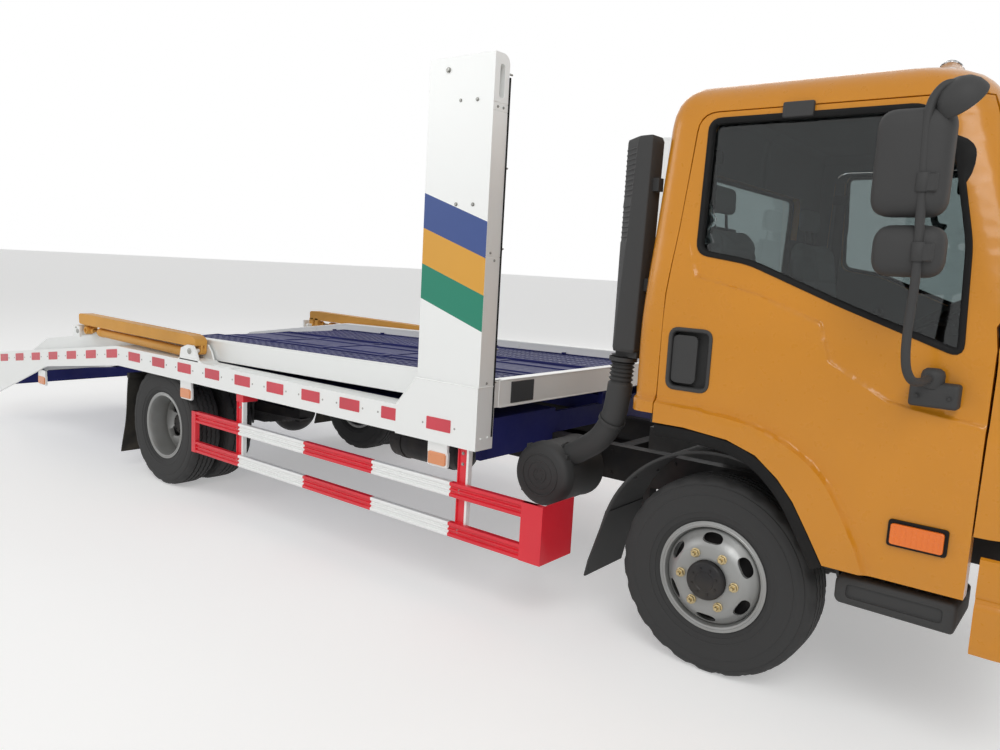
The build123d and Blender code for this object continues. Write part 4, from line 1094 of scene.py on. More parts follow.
def build_front():
    """Bumper, head lamps, grille, wipers, blank plate and beacon."""
    path = []
    for k in range(7):
        path.append((Vector((BUMPER_SIDE_X + (BUMPER_X - BUMPER_R - BUMPER_SIDE_X) * k / 6, -BUMPER_Y)),
                     Vector((0, -1))))
    for k in range(1, 13):
        a = math.pi / 2 * k / 12
        out = Vector((math.sin(a), -math.cos(a)))
        path.append((Vector((BUMPER_X - BUMPER_R, -BUMPER_Y + BUMPER_R)) + out * BUMPER_R, out))
    half = list(path)
    for k in range(1, 20):
        y = (BUMPER_Y - BUMPER_R) * (k / 10 - 1)
        path.append((Vector((BUMPER_X, y)), Vector((1, 0))))
    path += [(Vector((p.x, -p.y)), Vector((o.x, -o.y))) for p, o in half[::-1]]
    form = Form()
    form.skin([bumper_ring(p, o) for p, o in path])
    cutter = Form()
    cutter.prism(rounded(rectangle(-0.46, 0.46, 0.475, 0.575), 0.03), 1.02, 1.14, "x")
    for side in SIDES:
        cutter.prism(rounded(rectangle(side * 0.8, side * 0.62, 0.475, 0.565), 0.028), 1.02, 1.14, "x")
    piece("front_bumper", carved(form, cutter), "chassis", "yellow_paint", ["bumper"], smooth=38)
    mesh = Form()
    for k in range(6):
        z = 0.486 + k * 0.0155
        mesh.box(1.066, 1.08, -0.468, 0.468, z, z + 0.006)
    mesh.box(1.058, 1.066, -0.47, 0.47, 0.47, 0.58)
    for side in SIDES:
        mesh.box(1.05, 1.06, side * 0.815, side * 0.605, 0.468, 0.572)
    piece("bumper_grille", mesh, "chassis", "black_plastic", bevel=0.0015)
    fog = Form()
    for side in SIDES:
        fog.turned([(0, 0.03), (0.012, 0.036), (0.022, 0.036), (0.028, 0.03), (0.03, 0.01)],
                   (1.058, side * 0.71, 0.52), (1, 0, 0), 36)
    piece("fog_lamps", fog, "chassis", "clear_lens", smooth=50)
    plate = Form()
    plate.prism(rounded(rectangle(-0.22, 0.22, 0.608, 0.742), 0.01), BUMPER_X - 0.0005, BUMPER_X + 0.0025, "x")
    plate.bolt((BUMPER_X + 0.0024, -0.15, 0.722), (1, 0, 0), 0.006)
    plate.bolt((BUMPER_X + 0.0024, 0.15, 0.722), (1, 0, 0), 0.006)
    piece("front_plate", plate, "chassis", "blank_plate", bevel=0.001)

    housing = Form()
    lens = Form()
    bulbs = Form()
    turn = Form()
    for side in SIDES:
        outline = [(0.53, 0.858), (0.8, 0.848), (0.828, 0.88), (0.824, 0.985), (0.79, 1.008), (0.52, 0.985),
                   (0.512, 0.88)]
        edge = rounded([(side * y, z) for y, z in outline], 0.03)
        rim = [(0.008, 0.001), (0.006, 0.007), (-0.008, 0.009), (-0.014, 0.002), (-0.014, -0.012), (0.004, -0.012)]
        flat = [(spread_out(y, z), z) for y, z in edge]
        band(housing, flat, wrap_point, rim, 0.03)
        shell = [wrap_point(a, z, 0.0035) for a, z in divided(flat, 0.03)]
        inner = [wrap_point(a, z, -0.0005) for a, z in divided(flat, 0.03)]
        lens.skin([[tuple(p) for p in inner], [tuple(p) for p in shell]])
        for y, r in ((0.6, 0.058), (0.715, 0.05)):
            at = skin_point(side * y, 0.925, 0.0008)
            bulbs.turned([(0.0, r), (0.0018, r * 0.98), (0.0012, r * 0.7), (0.0004, r * 0.4), (0.0015, r * 0.15)], at,
                         (1, 0, 0), 40)
        for k in range(6):
            a = spread_out(side * (0.77 + k * 0.008), 0.93)
            low, high = wrap_point(a, 0.87, 0.001), wrap_point(a, 0.98, 0.001)
            turn.rod(low, high, 0.0022, 8)
    piece("head_lamp_rims", housing, "cab", "black_plastic", smooth=50)
    piece("head_lamp_lenses", lens, "cab", "clear_lens", ["cab_lamps"], smooth=50)
    piece("head_lamp_reflectors", bulbs, "cab", "chrome", smooth=50)
    piece("front_turn_bars", turn, "cab", "amber_lens", smooth=50)

    grille = Form()
    for k, z in enumerate((0.872, 0.91, 0.948)):
        width = 0.47 - k * 0.004
        pillow(grille, (-width, z, 1.036), (width, z + 0.024, 1.0515), "x", 0.01,
               [(0, 0), (0.6, 0), (0.9, 0.003), (1, 0.007)])
    outline = rounded(rectangle(-0.49, 0.49, 0.858, 0.986), 0.025)
    grille.prism(outline, 1.03, 1.0455, "x")
    piece("front_grille", grille, "cab", "black_plastic", bevel=0.0015, smooth=45)
    panel_strip = Form()
    pillow(panel_strip, (-0.7, 1.18, 1.03), (0.7, 1.33, 1.0475), "x", 0.04,
           [(0, 0), (0.5, 0), (0.85, 0.004), (1, 0.012)])
    piece("front_panel", panel_strip, "cab", "yellow_paint", smooth=45)

    wipers = Form()
    reach, lean = 0.56, 0.1
    for y in (-0.6, 0.05):
        base = skin_point(y, WIPER_Z, 0.012)
        tip = skin_point(y + reach, WIPER_Z + 0.085 + lean * reach, 0.014)
        wipers.turned([(-0.012, 0.02), (0.006, 0.02), (0.012, 0.014)], base, (1, 0, 0.25), 20)
        wipers.rod(base, tip, 0.0055, 10)
        for k in range(2):
            shift = 0.006 - k * 0.008
            a = skin_point(y + reach - 0.3, WIPER_Z + 0.028 + lean * reach, shift)
            b = skin_point(y + reach + 0.26, WIPER_Z + 0.138 + lean * reach, shift)
            wipers.rod(a, b, 0.0045 - k * 0.001, 8)
    piece("wipers", wipers, "cab", "black_plastic", smooth=45)

    dome = Form()
    dome.turned([(0, 0.066), (0.01, 0.069), (0.085, 0.066), (0.125, 0.058), (0.155, 0.042), (0.17, 0.022),
                 (0.175, 0.006)],
                (BEACON_X, 0, ROOF_Z + 0.026), (0, 0, 1), 48)
    piece("beacon_dome", dome, "cab", "clear_lens", smooth=60)
    base = Form()
    base.turned([(-0.03, 0.078), (0.006, 0.079), (0.018, 0.074), (0.026, 0.066), (0.028, 0.05)],
                (BEACON_X, 0, ROOF_Z + 0.002),
                (0, 0, 1), 48)
    piece("beacon_base", base, "cab", "black_plastic", smooth=45)
    bulb = Form()
    bulb.turned([(0, 0.022), (0.03, 0.024), (0.06, 0.02), (0.075, 0.01)], (BEACON_X, 0, ROOF_Z + 0.03), (0, 0, 1), 24)
    bulb.turned([(0.0, 0.048), (0.004, 0.048), (0.006, 0.03)], (BEACON_X, 0, ROOF_Z + 0.029), (0, 0, 1), 32)
    piece("beacon_bulb", bulb, "cab", "chrome", smooth=50)


ARCH_STRIP = [(0.445, 0.6), (0.389, 0.697), (0.324, 0.8), (0.262, 0.871), (0.174, 0.939), (0.062, 0.978), (-0.1, 0.994),
              (-0.236, 0.994)]


def build_arches():
    """Black strips under the doors' arch edges."""
    for side in SIDES:
        body = SIDE_NAMES[side] + "_door"
        point = side_point(side)
        strip = Form()
        path = smooth_path([(x, 0, z) for x, z in ARCH_STRIP], 6)
        rings = []
        for i, p in enumerate(path):
            along = direction(path, i)
            down = Vector((-along.z, 0, along.x)).normalized()
            if down.z > 0:
                down = -down
            skin = point(p.x, p.z, 0.0).y
            ring = []
            for drop, inset in ((0.0, 0.004), (0.004, -0.001), (0.02, -0.002), (0.044, 0.01), (0.052, 0.022),
                                (0.046, 0.026), (0.02, 0.02), (0.0, 0.03)):
                q = p + down * drop
                ring.append((q.x, skin - side * inset, q.z))
            rings.append(ring)
        strip.skin(rings)
        piece(SIDE_NAMES[side] + "_arch_strip", strip, body, "rubber", smooth=45)


LINER_R = 0.4995
LINER_Y = (0.602, 0.918)


def build_undercab():
    """Wheel liners, entry steps and rear flaps on the frame."""
    form = Form()
    rubber = Form()
    for side in SIDES:
        form.side = rubber.side = side
        rings = []
        for k in range(37):
            a = math.radians(15 + 150 * k / 36)
            ring = []
            for radius, y in ((0.503, LINER_Y[0]), (0.5, 0.612), (0.5, 0.9), (0.494, 0.912), (0.4985, 0.9185),
                              (0.507, 0.9195), (0.5075, LINER_Y[0])):
                ring.append((radius * math.cos(a), y, HUB_Z + radius * math.sin(a)))
            rings.append(ring)
        form.skin(rings)
        flap = [(-0.47, 0.56), (-0.495, 0.48), (-0.52, 0.4), (-0.545, 0.32), (-0.56, 0.25), (-0.568, 0.251),
                (-0.554, 0.322),
                (-0.529, 0.402), (-0.504, 0.482), (-0.482, 0.564)]
        form.prism(flap, LINER_Y[0], LINER_Y[1])
        for a in (40, 90, 140):
            turn = math.radians(a)
            for y in (0.66, 0.86):
                at = (LINER_R * math.cos(turn), y, HUB_Z + LINER_R * math.sin(turn))
                form.bolt(at, (-math.cos(turn), 0, -math.sin(turn)), 0.008)
        step = Form(side)
        outline = [(0.492, 0.47), (0.852, 0.466), (0.86, 0.486), (0.86, 0.566), (0.846, 0.575), (0.5, 0.575),
                   (0.48, 0.556),
                   (0.48, 0.486)]
        pillow_rings = []
        for y, inset in ((0.702, 0.0), (0.95, 0.0), (0.96, 0.004), (0.965, 0.01)):
            mid = Vector((0.67, 0.52))
            ring = []
            for u, v in rounded(outline, 0.016):
                p = Vector((u, v))
                ring.append((p.x - math.copysign(inset, p.x - mid.x), y, p.y - math.copysign(inset, p.y - mid.y)))
            pillow_rings.append(ring)
        step.skin(pillow_rings)
        cutter = Form(side)
        for k in range(9):
            x = 0.52 + k * 0.036
            cutter.box(x, x + 0.02, 0.74, 0.93, 0.566, 0.585)
        cutter.prism(rounded(rectangle(0.52, 0.82, 0.498, 0.546), 0.014), 0.957, 0.98)
        piece(SIDE_NAMES[side] + "_step", carved(step, cutter), "chassis", "black_plastic", bevel=0.002, smooth=40)
        form.rod((0.6, 0.4, 0.53), (0.6, 0.72, 0.53), 0.02)
        form.box(-0.025, 0.025, 0.3, 0.605, 0.884, 0.902)
        flap = [(-4.212, 0.7), (-4.228, 0.702)]
        for k in range(13):
            z = 0.7 - 0.57 * k / 12
            flap.append((-4.231 - 0.045 * k / 12 - 0.06 * (k / 12) ** 2 - 0.006 * math.sin(k * 0.7), z))
        back = [(x + 0.011, z) for x, z in flap[:1:-1]]
        rubber.prism(flap + back, 0.622, 1.088)
        rubber.box(-4.238, -4.206, 0.618, 1.092, 0.672, 0.706)
        for y in (0.68, 0.8, 0.92, 1.04):
            rubber.bolt((-4.237, y, 0.69), (-1, 0, 0), 0.009)
        form.rod((-4.2, 0.41, 0.69), (-4.2, 0.66, 0.69), 0.012)
    piece("wheel_liners", form, "chassis", "black_plastic", ["mudguards"], smooth=45)
    piece("rear_flaps", rubber, "chassis", "mud_rubber", smooth=40)


# Bed and deck, seen from the side
BED_BEND = -4.33
BED_SLOPE = 0.127
BED_TAIL = -6.75
BED_HALF_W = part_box("bed_beams")[1].y - 0.005
BEAM_TOP = 0.885
BEAM_LOW = 0.75
BED_FLOOR = 0.862
COLUMN_X = (-1.43, -1.05)
COLUMN_T = 0.1
COLUMN_TOP = 2.47
BASE_TOP = 1.033
DECK_FRONT = -1.07
DECK_RAIL_TOP = 1.052
DECK_LEAN = 0.0174
DECK_HALF_W = 0.99
DECK_RAIL_W = 0.06
TRACK_TAIL = -5.885
TRACK_FRONT = DECK_FRONT - 0.062
TRACK_DROP = 0.055
MIDDLE_DROP = 0.0625
ARM_PIVOT = (-3.4, 0.948)
ARM_END = (-4.91, 0.936)
CYL_PIVOT = (-3.434, 0.923)
ROD_EYE = (-4.838, 0.948)
ARM_Y = (1.018, 1.1)
CYL_Y = 1.06
EYE_Y = 1.066
DECK_PIN_Y = 1.12
KNUCKLE_R = 0.027
COLUMN_CORNER = 0.042
STRIPE_SLOPE = 1 / 3
STRIPE_X = -1.423
COLUMN_SEAMS = ((2.262, 2.265), (2.228, 2.231), (1.609, 1.613))
# Column's stripes: low and high edge where they cross STRIPE_X, look index
STRIPES = [(1.406, 1.566, 3), (1.566, 1.728, 2), (1.728, 1.885, 1)]


def bed_z(x, level):
    """Height of a line that follows the bed at this level and bends down with its tail."""
    return level + min(0.0, (x - BED_BEND) * BED_SLOPE)


def deck_z(x, drop):
    """Height below the top of the deck's rail, with its lean and its bent tail."""
    lean = (x - DECK_FRONT) * DECK_LEAN
    return DECK_RAIL_TOP - drop + lean + min(0.0, (x - BED_BEND) * (BED_SLOPE - 0.001))


def steps(start, end, spacing):
    """Places from start to end, evenly spread."""
    count = max(1, round(abs(end - start) / spacing))
    return [start + (end - start) * k / count for k in range(count + 1)]


def rolled(section, x0, x1, height, spacing):
    """Rings of a section of (y, z offset) along the truck, following a line of heights past the bed's bend."""
    places = sorted({*steps(x0, x1, spacing), BED_BEND})
    return [[(x, y, height(x) + z) for y, z in section] for x in places]


def deck_strip(section, x0, x1, drop, spacing):
    """Rings of a section along the deck, this far below its rails' top."""
    return rolled(section, x0, x1, lambda x: deck_z(x, drop), spacing)


def build_columns():
    """Front columns with their stripes, seams, bolts, slots and pegs."""
    back, front = COLUMN_X
    for side in SIDES:
        name = SIDE_NAMES[side]
        form = Form(side)
        y_out = BED_HALF_W
        y_in = BED_HALF_W - COLUMN_T
        # outline in front view: rounded inner top corner
        outline = [(y_out, BASE_TOP), (y_out, COLUMN_TOP)]
        for k in range(9):
            a = math.pi / 2 * k / 8
            outline.append((y_in + COLUMN_CORNER * (1 - math.sin(a)), COLUMN_TOP - COLUMN_CORNER * (1 - math.cos(a))))
        outline.append((y_in, BASE_TOP))
        form.prism(outline, back, front, "x")
        faces = [f for f in form.bm.faces if abs(f.calc_center_median().y - side * y_out) < 1e-4]
        for level in sorted({edge for stripe in STRIPES for edge in stripe[:2]}):
            geom = faces + [e for f in faces for e in f.edges] + [v for f in faces for v in f.verts]
            at = Vector((STRIPE_X + AXLE, 0, level))
            up = Vector((STRIPE_SLOPE, 0, 1)).normalized()
            bmesh.ops.bisect_plane(form.bm, geom=list(set(geom)), plane_co=at, plane_no=up)
            faces = [f for f in form.bm.faces if abs(f.calc_center_median().y - side * y_out) < 1e-4]
        for f in faces:
            c = f.calc_center_median()
            h = c.z + (c.x - AXLE - STRIPE_X) * STRIPE_SLOPE
            for low, high, look in STRIPES:
                if low < h < high:
                    f.material_index = look
        cutter = Form(side)
        slot_y = BED_HALF_W - 0.052
        slot = rounded(rectangle(slot_y - 0.017, slot_y + 0.017, 2.285, 2.425), 0.016)
        cutter.prism(slot, front - 0.04, front + 0.02, "x")
        for low, high in COLUMN_SEAMS:
            cutter.box(front - 0.0015, front + 0.01, y_in - 0.001, y_out + 0.001, low, high)
        mesh = carved(form, cutter)
        looks = ("white_paint", "stripe_blue", "stripe_yellow", "stripe_green")
        piece(name + "_column", mesh, "chassis", looks, ["columns"] if side < 0 else (), bevel=0.0025,
              smooth=32)
        dark = Form(side)
        dark.box(front - 0.052, front - 0.041, slot_y - 0.022, slot_y + 0.022, 2.28, 2.43)
        # dark strip down the inner front edge, in the rubber material
        dark.box(front - 0.018, front + 0.004, y_in - 0.009, y_in - 0.0005, 0.8, 2.38)
        piece(name + "_column_strip", dark, "chassis", "rubber", bevel=0.002)
        bolts = Form(side)
        for x, z, size in ((-1.315, 2.416, 0.013), (-1.236, 2.281, 0.008), (-1.14, 2.278, 0.009),
                           (-1.236, 1.835, 0.009),
                           (-1.138, 1.834, 0.009)):
            bolts.bolt((x, y_out, z), (0, 1, 0), size)
        for y, z in ((0.03, 2.247), (0.068, 2.247), (0.03, 1.628), (0.06, 1.596), (0.052, 1.05)):
            bolts.bolt((front, BED_HALF_W - y, z), (1, 0, 0), 0.006)
        for z in (2.395, 2.0, 1.65, 1.2, 1.05):
            bolts.rod((front - 0.006, y_in - 0.006, z), (front - 0.006, y_in - 0.026, z), 0.0045, 10)
        for z in (1.1, 1.45, 1.8, 2.15):
            bolts.bolt((-1.24, y_in, z), (0, -1, 0), 0.01)
        piece(name + "_column_bolts", bolts, "chassis", "bolt_steel", smooth=40)


def build_beams():
    """Side beams, column bases, ears, reflectors and the small fittings on them."""
    finish_node("bed_beams", "white_paint", 0.003)
    finish_node("bed_frame", "blue_paint", 0.003)
    y_out = BED_HALF_W
    marks = Form()
    rivets = Form()
    for side in SIDES:
        marks.side = rivets.side = side
        for i in range(18):
            x = -1.278 - 0.3118 * i
            if x < BED_TAIL + 0.1:
                continue
            y = y_out + 0.005 if x > -1.55 else y_out
            ring = []
            corners = rounded([(-0.076, -0.03), (0.076, -0.03), (0.076, 0.03), (-0.076, 0.03)], 0.004, 2)
            for u, v in corners:
                ring.append((x + u, bed_z(x + u, 0.833) + v))
            marks.prism(ring, y, y + 0.0022)
            for u in (-0.1, 0.1):
                at = (x + u, y, bed_z(x + u, 0.828))
                rivets.turned([(0, 0.0055), (0.0015, 0.005), (0.0028, 0.003)], at, (0, 1, 0), 12)
    piece("beam_reflectors", marks, "chassis", "reflector", bevel=0.0008)
    piece("beam_rivets", rivets, "chassis", "bolt_steel", smooth=50)

    trim = Form()
    for side in SIDES:
        trim.side = side
        y = y_out + 0.005
        # weld line round the base's top and its seam
        path = [(COLUMN_X[1], y, BASE_TOP), (COLUMN_X[0] - 0.006, y, BASE_TOP), (-1.56, y, BEAM_TOP)]
        for a, b in zip(path, path[1:]):
            trim.rod(a, b, 0.0035, 8)
        trim.rod((COLUMN_X[1] - 0.0005, y_out - 0.115, BASE_TOP), (COLUMN_X[1] - 0.0005, y, BASE_TOP), 0.0035, 8)
        for y0 in (0.03, 0.08):
            trim.bolt((COLUMN_X[1], y_out - y0, 0.8), (1, 0, 0), 0.006)
        # rolled edge along the top of the beam
        section = [(y_out + 0.0015 * math.cos(a) - 0.004, 0.006 * math.sin(a) - 0.006) for a in turns(10)]
        trim.skin(rolled(section, BED_TAIL + 0.01, -1.575, lambda x: bed_z(x, BEAM_TOP), 0.4))
        # stiffeners behind the beam's skin
        for x in (-2.0, -2.9, -3.6, -4.1, -4.6, -5.2, -5.9):
            z = bed_z(x, BEAM_TOP)
            trim.box(x - 0.004, x + 0.004, y_out - 0.095, y_out - 0.0195, z - 0.115, z - 0.018)
    piece("beam_trim", trim, "chassis", "white_paint", bevel=0.001, smooth=40)

    pins = Form()
    for side in SIDES:
        pins.side = side
        x, z = ARM_PIVOT
        pins.turned([(0, 0.019), (0.004, 0.019), (0.006, 0.0165)], (x, y_out, z), (0, 1, 0), 28)
        pins.turned([(0, 0.0085), (0.002, 0.0085)], (x, y_out + 0.006, z), (0, 1, 0), 6)
    piece("ear_pins", pins, "chassis", "bolt_steel", smooth=40)
    pads = Form()
    for side in SIDES:
        pads.side = side
        pads.prism([(-3.545, 0.884), (-3.515, 0.897), (-3.285, 0.897), (-3.255, 0.884)], y_out - 0.118, y_out)
        for x in (-3.1, -3.02):
            pads.box(x - 0.045, x + 0.045, y_out - 0.075, y_out - 0.008, 0.884, 0.892)
    piece("ear_pads", pads, "chassis", "white_paint", bevel=0.003)


def guard_section(low, high):
    """Section of a guard rail with two pressed ridges, as (y, z)."""
    height = high - low
    out = [(0.03, 0), (0.004, 0), (0, 0.05), (0, 0.22), (0.01, 0.3), (0.01, 0.4), (0.001, 0.46), (0.001, 0.54),
           (0.01, 0.6), (0.01, 0.7), (0, 0.78), (0, 0.95), (0.004, 1), (0.03, 1), (0.03, 0.94), (0.014, 0.9),
           (0.014, 0.1), (0.03, 0.06)]
    return [(BED_HALF_W - inset, low + share * height) for inset, share in out]


GUARD_LOW = 0.315
GUARD_TOP = 0.575
GUARD_RAILS = ((GUARD_LOW, 0.385), (0.505, GUARD_TOP))
GUARD_CUTS = [(-3.37, -2.874, 0), (-2.874, -2.267, 1), (-2.267, -1.726, 0), (-1.726, -1.198, 1), (-1.198, -0.7, 0)]


def build_guards():
    """Side guards: pressed rails in red and white, posts, end plates and bolts."""
    form = Form()
    bolts = Form()
    y = BED_HALF_W
    for side in SIDES:
        form.side = bolts.side = side
        for low, high in GUARD_RAILS:
            for x0, x1, look in GUARD_CUTS:
                form.look = look
                section = guard_section(low, high)
                form.skin([[(x, v, z) for v, z in section] for x in (x0, x1)])
        form.look = 0
        for x0, x1 in ((-3.372, -3.328), (-0.78, -0.668)):
            form.box(x0, x1, y - 0.028, y + 0.0015, GUARD_LOW, GUARD_TOP)
        form.box(-0.671, -0.666, y - 0.24, y + 0.0015, GUARD_LOW, GUARD_TOP + 0.002)
        form.box(-0.7, -0.667, y - 0.24, y - 0.001, GUARD_LOW, GUARD_LOW + 0.003)
        for x in (-2.89, -1.14):
            form.look = 0
            form.box(x - 0.033, x + 0.02, y - 0.045, y - 0.029, GUARD_LOW + 0.003, BEAM_LOW - 0.004)
            form.look = 1
            form.box(x + 0.02, x + 0.033, y - 0.05, y - 0.022, GUARD_LOW + 0.003, BEAM_LOW - 0.004)
            form.look = 0
            form.box(x - 0.033, x - 0.026, y - 0.05, y - 0.022, GUARD_LOW + 0.003, BEAM_LOW - 0.004)
            for z in (0.35, 0.54):
                bolts.bolt((x - 0.004, y - 0.0105, z), (0, 1, 0), 0.009)
            for z in (0.665, 0.715):
                bolts.bolt((x - 0.006, y - 0.029, z), (0, 1, 0), 0.008)
        form.look = 0
        form.box(-2.925, -2.855, y - 0.12, y - 0.02, 0.7, BEAM_LOW - 0.004)
    piece("guard_rails", form, "chassis", ("red_paint", "white_paint"), ["side_guards"], bevel=0.002,
          smooth=32)
    piece("guard_bolts", bolts, "chassis", "bolt_steel", smooth=40)


def build_bed_lamps():
    """Marker lamps under the beams and lamps in the tail's guard bar."""
    plates = Form()
    lenses = Form()
    reds = Form()
    for side in SIDES:
        plates.side = lenses.side = reds.side = side
        y = BED_HALF_W - 0.021
        for x, top in ((-1.304, 0.745), (-3.484, 0.75), (-5.6, 0.56)):
            plates.prism(rounded(rectangle(x - 0.062, x + 0.062, top - 0.06, top), 0.006), y - 0.018, y - 0.002)
            plates.prism(rounded(rectangle(x - 0.064, x + 0.064, top - 0.122, top - 0.04), 0.014), y - 0.02, y - 0.006)
            lenses.prism(rounded(rectangle(x - 0.054, x + 0.054, top - 0.112, top - 0.052), 0.01), y - 0.008, y + 0.004)
        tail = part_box("bed_lamps")[0].x - AXLE
        low = 0.292
        plates.prism([(0.762, low), (1.038, low), (1.038, low + 0.09), (0.762, low + 0.09)],
                     tail + 0.012, tail + 0.0255, "x")
        for k, target in enumerate((reds, lenses, reds)):
            y0 = 0.77 + k * 0.088
            y1 = 0.77 + k * 0.088 + 0.084
            target.prism(rounded(rectangle(y0, y1, low + 0.006, low + 0.084), 0.01), tail + 0.001, tail + 0.013, "x")
    piece("lamp_plates", plates, "chassis", "white_paint", ["bed_lamps"], bevel=0.0015)
    piece("amber_marker_lenses", lenses, "chassis", "amber_marker", bevel=0.003)
    piece("red_marker_lenses", reds, "chassis", "red_marker", bevel=0.003)
    tail = Form()
    tail.prism(rounded(rectangle(-0.22, 0.22, 0.296, 0.376), 0.008), BED_TAIL - 0.0035, BED_TAIL + 0.001, "x")
    piece("rear_plate", tail, "chassis", "blank_plate", bevel=0.001)


def slotted_track(side, y0, y1):
    """Deck track: a sheet with rows of slots."""
    pitch_x, pitch_y = 0.075, 0.051
    slot_x, slot_y = 0.027, 0.011
    form = Form()
    bm = form.bm
    x_start, x_end = -5.88, TRACK_FRONT
    columns_n = int((x_end - x_start) / pitch_x)
    rows_n = int((y1 - y0) / pitch_y)
    margin_y = ((y1 - y0) - rows_n * pitch_y) / 2
    margin_x = ((x_end - x_start) - columns_n * pitch_x) / 2
    xs = [x_start, x_start + margin_x]
    for i in range(columns_n):
        base = x_start + margin_x + i * pitch_x
        xs += [base + pitch_x / 2 - slot_x, base + pitch_x / 2 + slot_x, base + pitch_x]
    xs.append(x_end)
    ys = [y0, y0 + margin_y]
    for j in range(rows_n):
        base = y0 + margin_y + j * pitch_y
        ys += [base + pitch_y / 2 - slot_y, base + pitch_y / 2 + slot_y, base + pitch_y]
    ys.append(y1)

    def is_slot(i, j):
        return 2 <= i < 2 + 3 * columns_n and (i - 1) % 3 == 1 and 2 <= j < 2 + 3 * rows_n and (j - 1) % 3 == 1

    thick = 0.004
    grids = []
    for level in (0.0, thick):
        grids.append([[bm.verts.new((x + AXLE, side * y, deck_z(x, TRACK_DROP + level))) for y in ys] for x in xs])
    nx, ny = len(xs) - 1, len(ys) - 1
    hole = [[is_slot(i, j) for j in range(ny)] for i in range(nx)]
    for g in grids:
        for i in range(nx):
            for j in range(ny):
                if not hole[i][j]:
                    bm.faces.new((g[i][j], g[i + 1][j], g[i + 1][j + 1], g[i][j + 1]))

    def wall(i0, j0, i1, j1):
        bm.faces.new((grids[0][i0][j0], grids[0][i1][j1], grids[1][i1][j1], grids[1][i0][j0]))

    for i in range(nx):
        for j in range(ny):
            if hole[i][j]:
                wall(i, j, i + 1, j)
                wall(i + 1, j, i + 1, j + 1)
                wall(i + 1, j + 1, i, j + 1)
                wall(i, j + 1, i, j)
    for i in range(nx):
        wall(i, 0, i + 1, 0)
        wall(i, ny, i + 1, ny)
    for j in range(ny):
        wall(0, j, 0, j + 1)
        wall(nx, j, nx, j + 1)
    return form


